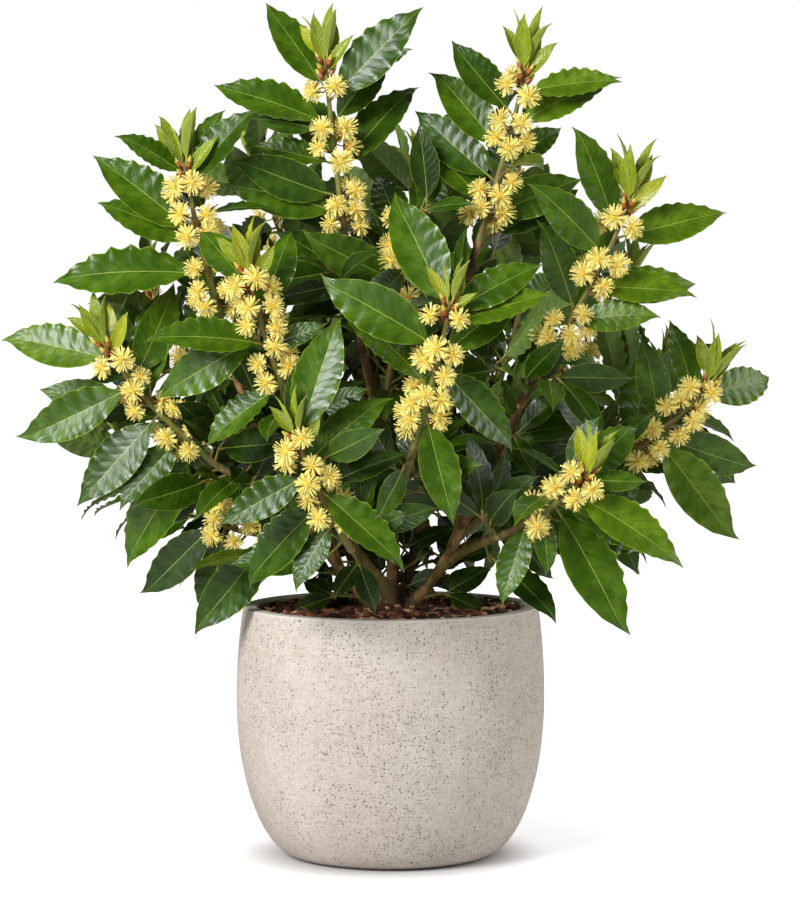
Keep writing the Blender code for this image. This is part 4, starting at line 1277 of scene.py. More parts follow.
# %% Leaf materials
def leaf_material(name, deep, bright, vein, midrib, roughness, relief, coat=0.0, vein_share=0.45):
    """A blade: two greens in soft patches, side veins, a margin like the midrib, and a quilted surface."""
    material, tree, shader = start_material(name, roughness, coat)
    drawn = use_group(tree, veins)
    base = blended(drawn["Tone"], deep, bright)
    # On grown leaves the vein colour is painted shade in the creases.
    base = blended(drawn["Vein"] * vein_share, base, vein)
    base = blended(drawn["Net"] * 0.10, base, vein)
    base = blended(drawn["Margin"] * 0.55, base, midrib)
    paint(shader, Base_Color=blended(drawn["Midrib"], base, midrib), Specular_IOR_Level=0.45,
          Roughness=roughness - 0.05 + (drawn["Tone"] * 0.10 - drawn["Edge"] * 0.12))
    add_bump(shader, drawn["Height"], relief * MM)
    return material


def stalk_material(name, tip, foot):
    """A leaf stalk, redder towards the twig; its place along the stalk is its height on the map."""
    material, tree, shader = start_material(name, 0.45)
    paint(shader, Base_Color=blended(leaf_map(tree)[1].step(0.1, 0.7), foot, tip))
    return material


# Painted shade in the creases of the side veins, on the upper side of grown leaves.
CREASE_SHADE_GREEN = (28, 50, 5)
MIDRIB_YELLOW = (158, 176, 80)
# The tints paint light and shade: darker greens for shaded leaves, lighter ones for sunlit leaves.
LEAF_TINTS = (  # deep and bright green of each tint, from shaded to sunlit leaves, and its roughness
    ("leaf_shaded", (30, 54, 1), (43, 71, 2), 0.38),
    ("leaf_deep", (42, 71, 2), (59, 93, 3), 0.36),
    ("leaf_mid", (54, 86, 3), (77, 111, 4), 0.35),
    ("leaf_sunlit", (72, 104, 4), (98, 129, 6), 0.35),
)
leaf_materials = [
    leaf_material(name, deep, bright, CREASE_SHADE_GREEN, MIDRIB_YELLOW, roughness, 0.22, vein_share=0.42)
    for name, deep, bright, roughness in LEAF_TINTS
] + [
    leaf_material("leaf_underside", (88, 116, 46), (104, 130, 56), (132, 150, 76), (150, 166, 84), 0.55, 0.35),
    stalk_material("leaf_stalk", (148, 150, 62), (120, 84, 44)),
]
YOUNG_TONES = (  # deep and bright green, vein, midrib, roughness, relief and coat
    ("green", (116, 136, 8), (142, 157, 14), (156, 170, 54), (174, 180, 78), 0.34, 0.3, 0.15),
    ("yellow", (144, 157, 14), (170, 174, 24), (180, 184, 70), (192, 190, 92), 0.34, 0.3, 0.15),
    ("underside", (130, 148, 46), (146, 162, 58), (158, 172, 78), (174, 182, 90), 0.5, 0.25),
)
young_materials = [leaf_material("young_leaf_" + name, *tones) for name, *tones in YOUNG_TONES]
young_materials.append(stalk_material("young_stalk", (170, 178, 70), (150, 120, 60)))
print("leaf finishes:", len(leaf_materials) + len(young_materials))

# %% [markdown]
# The blade's outline is a power curve of the place s along it, s^a (1 - s)^c. With a below 1 the base is a
# short wedge, and with c above 1 the sides draw in to a long tip. The widest place is at a / (a + c).

# %% The blade's outline
PETIOLE_SHARE = 0.107
OUTLINE_START, OUTLINE_END = 0.86, 1.16
WIDEST = OUTLINE_START / (OUTLINE_START + OUTLINE_END)
OUTLINE_PEAK = WIDEST**OUTLINE_START * (1 - WIDEST) ** OUTLINE_END
TIP_START, TIP_DRAW = 0.80, 0.45  # where the sides draw in to the point, and how much
TIP_TURN = 0.05  # how far the point turns aside, of the length
RIPPLE = 0.022  # how far the margin goes in and out, of the half width
BLADE_THICKNESS = 0.42 * MM
MIDRIB_HALF = 0.5 * MM
STRIP_EDGES = (-1.0, -0.8, -0.06, 0.06, 0.8, 1.0)  # shares of the half width where the upper side has points
UNDER_EDGES = (0.8, 0.08, 0.0, -0.08, -0.8)  # and the underside, so that the upper side doesn't poke through
WAVE_WEIGHTS = {1.0: 1.0, 0.8: 0.28}

Look = namedtuple("Look", "rows width fold wave waves rib")
GROWN = Look(38, 0.95, 0.19, 1.6 * MM, (7.0, 9.5), 1.0)
SMALL = Look(18, 0.95, 0.16, 1.2 * MM, (5.0, 7.0), 1.0)
YOUNG = Look(14, 0.96, 0.40, 1.0 * MM, (5.0, 8.0), 0.5)


def outline(s):
    """The half width at places along the blade, as shares of its widest."""
    drawn_in = 1 - TIP_DRAW * np.clip((s - TIP_START) / (1 - TIP_START), 0, 1)
    return s**OUTLINE_START * (1 - s) ** OUTLINE_END / OUTLINE_PEAK * drawn_in


print("the blade is widest at", round(WIDEST, 2), "of its length")


# %% One blade's points
def frames_along(leaf, t, twist):
    """leaf_frame for many places at once, with the blade also twisted about its midrib."""
    root, way, normal = (np.array(v) for v in (leaf.root, leaf.way, leaf.normal))
    turn = (leaf.curl * t)[:, None]
    bend = leaf.length / leaf.curl
    points = root + way * bend * np.sin(turn) - normal * bend * (1 - np.cos(turn))
    ways = way * np.cos(turn) - normal * np.sin(turn)
    normals = normal * np.cos(turn) + way * np.sin(turn)
    across = np.broadcast_to(np.cross(way, normal), ways.shape)
    roll = (twist * (t - 0.3))[:, None]
    level, upright = np.cos(roll), np.sin(roll)
    return points, across * level + normals * upright, normals * level - across * upright


def blade_points(leaf, look, chance):
    """Rings of 11 points up a blade, 6 above and 5 below, then the points that close its base and its tip."""
    s = (np.arange(look.rows) + 0.5) / look.rows
    s = np.concatenate([s, [0.0, 1.0]])
    t = PETIOLE_SHARE + (1 - PETIOLE_SHARE) * s
    centre, across, normal = frames_along(leaf, t, chance.uniform(-0.5, 0.5))
    centre = centre + across * (leaf.length * chance.uniform(-0.05, 0.05) * (t**2 - t))[:, None] * 1.5
    turned = np.clip((s - TIP_START) / (1 - TIP_START), 0, 1) ** 2 * leaf.length
    aside_by = across * chance.uniform(-TIP_TURN, TIP_TURN) - normal * TIP_TURN * 0.6
    centre = centre + aside_by * turned[:, None]
    half = np.maximum(leaf.width / 2 * look.width * outline(s), 0.3 * MM)
    size = leaf.length / 0.1
    swell = np.sin(math.pi * np.clip(s * 1.03, 0, 1)) ** 0.6 * look.wave * size  # waves die away at both ends
    count = chance.uniform(*look.waves)
    fold = look.fold * chance.uniform(0.5, 1.4)
    waves = {}
    for side in (-1, 1):
        slow, quick = chance.uniform(0, FULL_TURN), chance.uniform(0, FULL_TURN)
        wave = np.sin(FULL_TURN * count * s + slow) + 0.3 * np.sin(FULL_TURN * 1.8 * count * s + quick)
        waves[side] = wave * swell * chance.uniform(0.7, 1.2)
    rib = np.clip(MIDRIB_HALF * look.rib * (1.15 - 0.8 * s) / half, 0.03, 0.35)

    def at(share, drop=0.0):
        """The line of points at a share of the half width, dropped below the upper side."""
        place = np.sign(share) * rib * abs(share) / 0.06 if 0 < abs(share) < 0.1 else np.full(len(s), share)
        rise = fold * np.abs(place) ** 1.3 * half
        weight = WAVE_WEIGHTS.get(abs(share), 0.0)
        if weight:
            wave = weight * waves[1 if share > 0 else -1]
            rise = rise + wave
            place = place * (1 + RIPPLE * wave / look.wave / size)
        return centre + across * (place * half)[:, None] + normal * (rise - drop)[:, None]

    above = [at(share) for share in STRIP_EDGES]
    drops = (BLADE_THICKNESS, BLADE_THICKNESS * 1.3, BLADE_THICKNESS + 0.9 * MM * look.rib * (1.05 - s))
    below = [at(share, drops[k]) for share, k in zip(UNDER_EDGES, (0, 1, 2, 1, 0))]
    rings = np.stack(above + below, 1)
    base, tip = rings[-2, 2:4].mean(0), centre[-1]
    return np.concatenate([rings[:-2].reshape(-1, 3), base[None], tip[None]])


print("points in a grown blade:", 11 * GROWN.rows + 2)


# %% One blade's faces
def blade_faces(rows, top_column, under_column):
    """A blade's faces: five strips above in one column of the map, and six below in another. The quads below
    start at another corner, so that both sides of a leaf are cut into triangles along the same diagonals."""
    def across_map(share, column):
        return (column + 0.5 + COLUMN_HALF * share) / COLUMNS

    above = [across_map(share, top_column) for share in STRIP_EDGES]
    below = [across_map(share, under_column) for share in (1.0, *UNDER_EDGES, -1.0)]
    left = np.array(above[:-1] + below[:-1])
    right = np.array(above[1:] + below[1:])
    faces = tube_faces(rows, 11, finish_of=[top_column] * 5 + [under_column] * 6, places=(left, right))
    below = np.tile(np.arange(11) >= 5, rows - 1)
    faces.quads[below] = np.roll(faces.quads[below], 1, axis=1)
    faces.quad_places[below] = np.roll(faces.quad_places[below], 1, axis=1)
    return faces


PETIOLE_SIDES = 6
PETIOLE_ROWS = 5


def petiole_points(leaf, thick, thin):
    t = np.linspace(0.0, BLADE_START, PETIOLE_ROWS)
    centre, _, normal = frames_along(leaf, t, 0.0)
    radii = np.linspace(thick, thin, PETIOLE_ROWS)
    return tube_points(centre - normal * (thin * 0.8), radii, PETIOLE_SIDES)  # half sunk in the blade


def petiole_faces(column):
    edges = (column + 0.1 + 0.8 * np.arange(PETIOLE_SIDES + 1) / PETIOLE_SIDES) / COLUMNS
    return tube_faces(PETIOLE_ROWS, PETIOLE_SIDES, finish=column, places=(edges[:-1], edges[1:]))


print("triangles in a grown blade:", 22 * GROWN.rows)

# %% [markdown]
# Tints go by leaf, and they paint light and shade: a leaf near the outside of the crown and turned up gets one
# of the light greens more often, and one deep inside gets the darkest. Each region of the crown becomes one
# mesh of leaves and one of young leaves.

# %% Draw the leaves
UNDER_COLUMN, STALK_COLUMN = 4, 5
YOUNG_UNDER_COLUMN, YOUNG_STALK_COLUMN = 2, 3
PETIOLE = (1.25 * MM, 0.85 * MM)  # its radius at the twig and at the blade
YOUNG_PETIOLE = (1.0 * MM, 0.7 * MM)
YOUNG_TINTS = (0, 0, 1)
LOW_LIGHT, LIGHT_RISE = 0.3, 0.4  # the height of the darkest leaves, and how far above them the lightest are


def tint_of(leaf, small, chance):
    """The number of a leaf's tint: more light outside, at the top, on the right and where it is turned up."""
    middle = leaf_frame(leaf, 0.6)[0]
    outside = math.hypot(middle.x, middle.y) / CROWN_RADIUS + 0.5 * (middle.z - LOW_LIGHT) / LIGHT_RISE
    light = outside + 0.35 * leaf.normal.z - (0.4 if small else 0.0) + chance.uniform(-0.35, 0.35)
    light += 0.45 * max(middle.x, 0.0) / CROWN_RADIUS
    return int(np.clip(round(1.95 * light), 0, len(LEAF_TINTS) - 1))


stalks, young_stalks = petiole_faces(STALK_COLUMN), petiole_faces(YOUNG_STALK_COLUMN)
for growth in growths:
    batch = batches["leaves_" + region_of(growth.name)]
    for kind, look, leaves in (("leaf", GROWN, growth.leaves), ("small", SMALL, growth.small_leaves)):
        for number, leaf in enumerate(leaves):
            chance = random.Random(f"{growth.name} {kind} blade {number}")
            faces = blade_faces(look.rows, tint_of(leaf, kind == "small", chance), UNDER_COLUMN)
            batch.add(blade_points(leaf, look, chance), faces)
            batch.add(petiole_points(leaf, *PETIOLE), stalks)
    batch = batches["young_leaves_" + region_of(growth.name)]
    for number, leaf in enumerate(growth.young):
        chance = random.Random(f"{growth.name} young blade {number}")
        faces = blade_faces(YOUNG.rows, chance.choice(YOUNG_TINTS), YOUNG_UNDER_COLUMN)
        batch.add(blade_points(leaf, YOUNG, chance), faces)
        batch.add(petiole_points(leaf, *YOUNG_PETIOLE), young_stalks)
for region in REGIONS:
    add_piece("leaves_" + region, leaf_materials, masses_in(region))
    add_piece("young_leaves_" + region, young_materials, masses_in(region))

# %% [markdown]
# ## Flowers
#
# Bay flowers open in small round clusters on short brown-red stalks. What is seen from a step away is a ball
# of stamens: blunt pale threads round a golden middle, held by four cupped scales. A few balls are drawn once
# and set on the plant many times, each turned its own way. Their parts are too small for a pattern, so the
# change from gold at the foot of a thread to cream at its tip is plain colours on its rings.

# %% Flower materials
def soft_material(name, base, roughness=0.5):
    """A small soft part: one plain colour with a fine uneven surface."""
    material, tree, shader = start_material(name, roughness)
    fine = noise(object_place(tree), 900.0, 3.0)
    paint(shader, Base_Color=base, Roughness=roughness - 0.1 + fine * 0.2)
    add_bump(shader, fine, 0.1 * MM)
    return material


flower_materials, stalk_materials, bud_materials = (
    [soft_material(name, base, roughness) for name, base in tones.items()]
    for roughness, tones in (
        (0.5, {"flower_middle": (235, 197, 60), "thread": (253, 237, 134), "thread_tip": (255, 251, 220),
               "petal": (253, 240, 144)}),
        (0.5, {"flower_stalk": (124, 74, 34), "flower_scale": (188, 138, 62)}),
        (0.4, {"bud_foot": (112, 50, 22), "bud_side": (160, 98, 38), "bud_tip": (202, 182, 72)}),
    )
)
MIDDLE, THREAD, THREAD_TIP, PETAL = range(4)
print("flower finishes:", len(flower_materials + stalk_materials + bud_materials))

# %% Threads and petals
THREADS = 78
THREAD_SIDES = 3
BALL_RADIUS = 11.6 * MM
THREAD_SHARES = (0.2, 0.9)
THREAD_RADII = (0.26 * MM, 0.50 * MM)
SHORT_UNDER = (-0.3, 0.86)  # threads that point lower than this are shorter by this share
NO_THREADS = -0.72  # and below this there are none, where the stalk comes in
PETALS = 7
PETAL_SHARES = (0.15, 0.4, 0.65, 0.82)
PETAL_RADII = np.array((0.5, 1.3, 1.5, 0.9)) * MM


def sphere_ways(count, chance):
    """Directions spread evenly over a ball by the golden angle, each nudged a little."""
    ways = []
    for k in range(count):
        height = 1 - 2 * (k + 0.5) / count
        ring = math.sqrt(1 - height * height)
        way = Vector((ring * math.cos(k * GOLDEN_ANGLE), ring * math.sin(k * GOLDEN_ANGLE), height))
        ways.append((way + Vector(chance.uniform(-0.16, 0.16) for _ in range(3))).normalized())
    return ways


thread_ends = np.repeat([MIDDLE, THREAD_TIP], THREAD_SIDES)
thread_faces = tube_faces(2, THREAD_SIDES, THREAD)._replace(tri_finish=thread_ends)
petal_faces = tube_faces(4, 4, PETAL)
print("threads in a ball:", THREADS)

# %% One ball of stamens
CORE_RADIUS = 3.2 * MM
CORE_RINGS = ((-0.85, 0.45), (-0.45, 0.85), (0.0, 1.0), (0.45, 0.85), (0.85, 0.45))  # height and radius
BALL_KINDS = 6


def stamen_ball(seed):
    """A ball of threads about the origin that opens along +Z, as one list of points and one of faces."""
    chance = random.Random(seed)
    ball = Batch()
    core = [(0, 0, CORE_RADIUS * z) for z, _ in CORE_RINGS]
    ball.add(tube_points(core, [CORE_RADIUS * share for _, share in CORE_RINGS], 7), tube_faces(5, 7, MIDDLE))
    for way in sphere_ways(THREADS, chance):
        if way.z < NO_THREADS:
            continue
        reach = BALL_RADIUS * chance.uniform(0.84, 1.06) * (1.0 if way.z > SHORT_UNDER[0] else SHORT_UNDER[1])
        sag = way.orthogonal().normalized() * chance.uniform(-0.9, 0.9) * MM
        path = [way * reach * share + sag * share**2 for share in THREAD_SHARES]
        ball.add(tube_points(path, THREAD_RADII, THREAD_SIDES, turn=chance.uniform(0, 2)), thread_faces)
    for k in range(PETALS):
        turn = FULL_TURN * (k + chance.uniform(-0.3, 0.3)) / PETALS
        way = Vector((math.cos(turn), math.sin(turn), chance.uniform(-0.5, 0.3))).normalized()
        path = [way * BALL_RADIUS * share for share in PETAL_SHARES]
        ball.add(tube_points(path, PETAL_RADII, 4, turn=chance.uniform(0, 2)), petal_faces)
    joined = [np.concatenate(part) for part in (ball.points, ball.quads, ball.tris, *ball.finishes)]
    return joined[0], Faces(*joined[1:], None, None)


def turned_to(points, origin, out, turn, size):
    """Points about the origin along +Z, set at a place and turned to a direction."""
    basis = (out.to_track_quat("Z", "Y") @ Quaternion((0, 0, 1), turn)).to_matrix()
    return np.array(origin) + (points * size) @ np.array(basis).T


balls = [stamen_ball(f"ball {k}") for k in range(BALL_KINDS)]
print("a ball has", len(balls[0][1].quads) * 2 + len(balls[0][1].tris), "triangles")

# %% Scales and buds
STALK_RADIUS = 0.75 * MM
SCALES = 4
SCALE_LENGTH = 5.5 * MM
SCALE_WIDTH = 4.6 * MM
BUDS = 7
BUD_LENGTHS = (13, 17)  # mm
BUD_RADIUS = 2.5 * MM


def pod_points(base, way, length, radius, flat=1.0, rows=7, sides=6, bend=0.0):
    """A spindle along a direction, round or flattened, bent a little: a bud or a scale."""
    s = (np.arange(rows) + 0.5) / rows
    side = way.orthogonal().normalized()
    path = [base + way * length * v + side * bend * length * v * v for v in s]
    swell = np.sin(math.pi * s**0.8) ** 0.8
    points = tube_points(path, np.maximum(radius * swell, 0.15 * MM), sides)
    if flat != 1.0:
        middle = np.array(base)
        normal = np.array(side)
        points = points - ((points - middle) @ normal)[:, None] * normal * (1 - flat)
    return points


bud_finishes = {"quad_finish": np.repeat([0, 0, 1, 1, 2, 2], 6), "tri_finish": np.repeat([0, 2], 6)}
bud_faces = tube_faces(7, 6)._replace(**bud_finishes)
scale_faces = tube_faces(4, 5, finish=1)
stalk_faces = tube_faces(5, 4)


def add_cluster(growth, root, out, chance):
    """A ball on its stalk, with the scales that hold it."""
    region = region_of(growth.name)
    side = out.orthogonal().normalized() * chance.uniform(-1.5, 1.5) * MM
    centre = root + out * UMBEL_REACH * 0.64 + side
    points, faces = balls[chance.randrange(BALL_KINDS)]
    size = chance.uniform(0.9, 1.12)
    batches["flowers_" + region].add(turned_to(points, centre, out, chance.uniform(0, 6), size), faces)
    cup = centre - out * CORE_RADIUS * 1.2
    stalk = bezier(root, root + out * 4 * MM - UP * 1.5 * MM, cup - out * 3 * MM - UP * MM, cup, 4)
    stalks = batches["flower_stalks_" + region]
    stalks.add(tube_points(stalk, np.linspace(1.1, 0.85, 5) * STALK_RADIUS, 4), stalk_faces)
    spin = chance.uniform(0, 2)
    for k in range(SCALES):
        way = (aside(out, spin + FULL_TURN * k / SCALES) + out * 0.55).normalized()
        scale = pod_points(cup - out * 0.4 * MM, way, SCALE_LENGTH, SCALE_WIDTH / 2, 0.3, 4, 5, 0.1)
        stalks.add(scale, scale_faces)


def add_bud(growth, number, chance):
    """A red-brown bud scale under the tuft."""
    across = aside(growth.tip_way, number * GOLDEN_ANGLE + chance.uniform(-0.3, 0.3))
    base = growth.tip - growth.tip_way * (3 + 2.6 * number) * MM + across * 1.2 * MM
    way = (growth.tip_way + across * chance.uniform(0.45, 0.8)).normalized()
    length = chance.uniform(*BUD_LENGTHS) * MM
    bud = pod_points(base, way, length, BUD_RADIUS, bend=-0.06)
    batches["buds_" + region_of(growth.name)].add(bud, bud_faces)


print("scales to a ball:", SCALES)

# %% Set the flowers and the buds
for growth in growths:
    chance = random.Random(growth.name + " balls")
    for root, out in growth.umbels:
        add_cluster(growth, root, out, chance)
    for number in range(BUDS if growth.young else 0):
        add_bud(growth, number, chance)
for region in REGIONS:
    for kind, materials in (
        ("flowers_", flower_materials), ("flower_stalks_", stalk_materials), ("buds_", bud_materials)
    ):
        add_piece(kind + region, materials, masses_in(region))

# %% [markdown]
# ## Twigs, boughs and stems
#
# Flowering bay wood is smooth and olive green at the tips, and turns grey-brown with shallow ridges further
# down. The relief is in the mesh: long ridges that run up the limb and fade in and out, and rings where
# leaves have been. One node group draws the streaks and the small pale breathing pores.

# %% Bark
def squeezed(place, across, along):
    """A place that runs faster or slower across a limb and along it, which stretches a pattern."""
    by = add_node(place.tree, "CombineXYZ", X=across, Y=across, Z=along)
    made = add_node(place.tree, "VectorMath", {"operation": "MULTIPLY"}, Vector=place)
    feed(place.tree, made.inputs[1], Wire(place.tree, by.outputs[0]))
    return Wire(place.tree, made.outputs[0])


bark, given = new_group("bark_streaks", Scale=90.0, Stretch=0.16)
place = object_place(bark)
streak = noise(squeezed(place, 1.0, given["Stretch"]), given["Scale"], 6.0)
pore = 1 - wire(bark, "TexVoronoi", "Distance", Vector=place, Scale=given["Scale"] * 2.6).step(0.10, 0.20)
put_out(bark, Streak=streak.step(0.32, 0.66), Pore=pore, Height=streak + pore * 0.3)


def bark_material(name, roughness, scale, relief, dark, light, pore_colour, moss):
    """Bark: light streaks on dark, pale pores, and patches of moss or older bark."""
    material, tree, shader = start_material(name, roughness)
    drawn = use_group(tree, bark, Scale=scale)
    patches = noise(object_place(tree), 70.0, 4.0).step(0.46, 0.58)
    base = blended(patches * 0.75, blended(drawn["Streak"], dark, light), moss)
    paint(shader, Base_Color=blended(drawn["Pore"] * 0.6, base, pore_colour))
    add_bump(shader, drawn["Height"], relief * MM)
    return material


stem_bark, bough_bark, twig_bark = (bark_material(*row) for row in (
    ("stem_bark", 0.75, 110.0, 1.8, (82, 56, 28), (176, 134, 82), (196, 162, 112), (66, 46, 26)),
    ("bough_bark", 0.65, 140.0, 0.9, (100, 80, 38), (150, 127, 66), (186, 162, 104), (100, 98, 46)),
    ("twig_bark", 0.5, 200.0, 0.3, (98, 104, 40), (128, 134, 56), (164, 150, 92), (120, 96, 50)),
))
print("bark finishes: stem, bough and twig")


# %% Relief
RING_HEIGHT, RING_SPREAD = 0.055, 1.1  # a leaf's ring stands out by a share of the radius, over so many rows


def limb_relief(rows, sides, seed, ridge, ring_gap):
    """Shares of the radius: ridges that wander up the limb, and low rings about ring_gap rows apart."""
    chance = np.random.default_rng(seed)
    angle = np.arange(sides) / sides * FULL_TURN
    row = np.arange(rows)[:, None]
    relief = np.ones((rows, sides))
    for waves in (3, 5, 7):
        wander = chance.uniform(0, 6) + 0.8 * np.sin(row / chance.uniform(6, 14) + chance.uniform(0, 6))
        fade = 0.6 + 0.4 * np.sin(row / chance.uniform(5, 12) + chance.uniform(0, 6))
        relief += ridge / waves * 2.5 * fade * np.sin(waves * angle + wander)
    for k in np.arange(chance.integers(3, 3 + ring_gap), rows, ring_gap):
        relief += RING_HEIGHT * np.exp(-(((row - k) / RING_SPREAD) ** 2))
    return relief


print("relief is a grid of", limb_relief(10, 6, 0, 0.05, 9).shape, "shares")

# %% [markdown]
# A bough that begins on the skin of its carrier looks stuck on. This one is drawn from inside the carrier, a
# little below its foot, and comes out as a fork does: thin at first, and never thicker than the limb that it
# leaves.

# %% Stems and boughs
LIMB_STEP = 4 * MM
FORK_SHARE = 0.84  # how thick a bough starts, as a share of its carrier there
FORK_ROWS = 8  # a bough starts inside its carrier, this many of its rows below its own foot
FORK_STEPS = 14
FORK_END = 6  # the row where the fork joins the bough's own path
FORK_START = 0.4  # the fork's first radius, as a share of the bough's
FORK_SWELL = 5  # the steps in which it reaches the bough's own radius
STEM_SIDES, BOUGH_SIDES = 18, 14
STEM_RIDGE, BOUGH_RIDGE = 0.07, 0.05
LIMB_RING_GAP = 9  # rows between two rings
LIMB_WANDER, WANDER_LENGTH = 0.5 * MM, 28 * MM
STEM_SUNK = 3 * MM  # a stem goes on below the mulch
drawn = {}  # shoot name: the shares of its drawn limb, and the radii and points there


def fork_off(path, radii, carrier_path):
    """Starts a bough inside its carrier instead of on its skin."""
    row = int(np.argmin(np.linalg.norm(carrier_path - path[0], axis=1)))
    foot, below = Vector(carrier_path[row]), Vector(carrier_path[max(row - FORK_ROWS, 0)])
    beyond, onward = Vector(path[FORK_END]), Vector(path[FORK_END + 1] - path[FORK_END]).normalized()
    fork = bezier(below, foot, beyond - onward * 2 * LIMB_STEP, beyond, FORK_STEPS)
    swell = np.interp(range(FORK_STEPS), (0, FORK_SWELL), (FORK_START, 1.0)) * radii[0]
    return np.concatenate([np.array(fork[:-1]), path[FORK_END:]]), np.concatenate([swell, radii[FORK_END:]])


def draw_limb(number, name, limb, carried_by=None):
    """A stem, or a bough that leaves the drawn limb of another shoot."""
    length = sum((b - a).length for a, b in zip(limb.coarse, limb.coarse[1:]))
    path = np.array(limb_path(*limb.ends, max(int(length / LIMB_STEP), 8), *limb.bend))
    share = np.linspace(0, 1, len(path))
    gone = np.concatenate([[0], np.cumsum(np.linalg.norm(np.diff(path, axis=0), axis=1))])
    thick = limb.thick
    if carried_by:
        carrier, place = carried_by
        thick = max(min(thick, FORK_SHARE * float(np.interp(place, *drawn[carrier][:2]))), LIMB_TIP_RADIUS)
    radii = LIMB_TIP_RADIUS + (thick - LIMB_TIP_RADIUS) * (1 - share)
    radii += limb.flare * np.exp(-gone / FLARE_HEIGHT)
    chance = np.random.default_rng(number)
    wander = np.stack([np.sin(gone / WANDER_LENGTH + chance.uniform(0, 6)) for _ in range(3)], 1)
    path = path + wander * LIMB_WANDER * np.sin(math.pi * share)[:, None]
    if carried_by:
        path, radii = fork_off(path, radii, drawn[carrier][2])
    else:
        path[0] -= STEM_SUNK * np.array(UP)
    drawn[name] = (gone / gone[-1], radii[-len(gone):], path[-len(gone):])
    sides, ridge = (BOUGH_SIDES, BOUGH_RIDGE) if carried_by else (STEM_SIDES, STEM_RIDGE)
    relief = limb_relief(len(path), sides, number, ridge, LIMB_RING_GAP)
    batch = batches["boughs_" + region_of(name) if carried_by else "stems"]
    batch.add(tube_points(path, radii, sides, relief), tube_faces(len(path), sides))


carriers = {name: (carrier, place) for name, carrier, place in BOUGHS}
for number, (name, limb) in enumerate(limbs.items()):
    draw_limb(number, name, limb, carriers.get(name))
print("limbs drawn:", len(drawn))

# %% Twigs and spurs
TWIG_END_RADIUS = 1.6 * MM
DRAWN_TWIG_STEPS = 34
TWIG_RIDGE, TWIG_RING_GAP = 0.03, 6
DRAWN_TWIG_SIDES = 9
SMALL_TWIG_SIDES = 7
SMALL_TWIG_STEPS = 10
DRAWN_SIDE_RADII, DRAWN_SPUR_RADII = (2.0, 1.3), (1.35, 0.9)  # mm


def draw_twigs(number, growth):
    batch = batches["twigs_" + region_of(growth.name)]
    path = limb_path(*growth.ends, DRAWN_TWIG_STEPS)
    radii = np.linspace(LIMB_TIP_RADIUS, TWIG_END_RADIUS, len(path))
    relief = limb_relief(len(path), DRAWN_TWIG_SIDES, 100 + number, TWIG_RIDGE, TWIG_RING_GAP)
    path[0] = path[0] - growth.ends[1] * 2 * MM
    batch.add(tube_points(path, radii, DRAWN_TWIG_SIDES, relief), tube_faces(len(path), DRAWN_TWIG_SIDES))
    for paths_here, ends in ((growth.twigs, DRAWN_SIDE_RADII), (growth.spurs, DRAWN_SPUR_RADII)):
        for root, middle, end in paths_here:
            curve = bezier(root, root.lerp(middle, 0.67), end.lerp(middle, 0.67), end, SMALL_TWIG_STEPS)
            radii = np.linspace(*ends, len(curve)) * MM
            batch.add(tube_points(curve, radii, SMALL_TWIG_SIDES), tube_faces(len(curve), SMALL_TWIG_SIDES))


for number, growth in enumerate(growths):
    draw_twigs(number, growth)
add_piece("stems", [stem_bark], ["stem_" + name for name in STEMS])
for region in REGIONS:
    here = ["bough_" + name for name in carriers if region_of(name) == region]
    add_piece("boughs_" + region, [bough_bark], here)
    add_piece("twigs_" + region, [twig_bark], masses_in(region))

# %% [markdown]
# ## The pot
#
# The bowl is cast fibre cement: warm grey, with fine dark grains and a few small air holes. Its lip is painted
# paler, a painted highlight where the light falls on its top, and its foot darker, painted shade where it meets
# the floor. It is a turned shape, so one profile swept round +Z makes it: up the outside from the foot, round
# the lip and down the inside. A turned shape from a mould is never quite true, so the wall wanders by a quarter
# of a millimetre.

# %% The pot's profile
POT_HEIGHT = 214 * MM
BELLY_RADIUS = 132.2 * MM
BELLY_HEIGHT = 135 * MM
FOOT_RADIUS = 80 * MM
RIM_RADIUS = 126.6 * MM
WALL = 13 * MM
LIP_ROUND = 2.2 * MM
POT_FLOOR = 16 * MM
POT_SIDES = 160


def pot_radius(z):
    """The pot's outer radius at a height."""
    if z < BELLY_HEIGHT:
        below = 1 - z / BELLY_HEIGHT
        return FOOT_RADIUS + (BELLY_RADIUS - FOOT_RADIUS) * math.sqrt(1 - below * below)
    above = (z - BELLY_HEIGHT) / (POT_HEIGHT - BELLY_HEIGHT)
    return BELLY_RADIUS - (BELLY_RADIUS - RIM_RADIUS) * above * above


def arc(centre_radius, centre_height, radius, start, end, count):
    angles = np.radians(np.linspace(start, end, count))
    return [(centre_radius + radius * math.cos(a), centre_height + radius * math.sin(a)) for a in angles]


lip_height = POT_HEIGHT - LIP_ROUND
turns = np.linspace(0.0, math.pi / 2, 26)
bowl = BELLY_RADIUS - FOOT_RADIUS
outside = [(FOOT_RADIUS + bowl * math.sin(a), BELLY_HEIGHT * (1 - math.cos(a))) for a in turns]
outside += [(pot_radius(z), z) for z in np.linspace(BELLY_HEIGHT, lip_height, 12)[1:-1]]
lip = arc(RIM_RADIUS - LIP_ROUND, lip_height, LIP_ROUND, 0, 90, 7)
inner_edge = pot_radius(lip_height) - WALL
lip += arc(inner_edge + LIP_ROUND, lip_height, LIP_ROUND, 90, 180, 7)
inside = [(pot_radius(z) - WALL, z) for z in np.linspace(lip_height, POT_FLOOR, 14)[1:]]
profile = [(20 * MM, 0.0), (60 * MM, 0.0)] + outside + lip + inside + [(20 * MM, POT_FLOOR)]
print("the profile has", len(profile), "points; the rim is", round(2 * RIM_RADIUS / MM), "mm across")


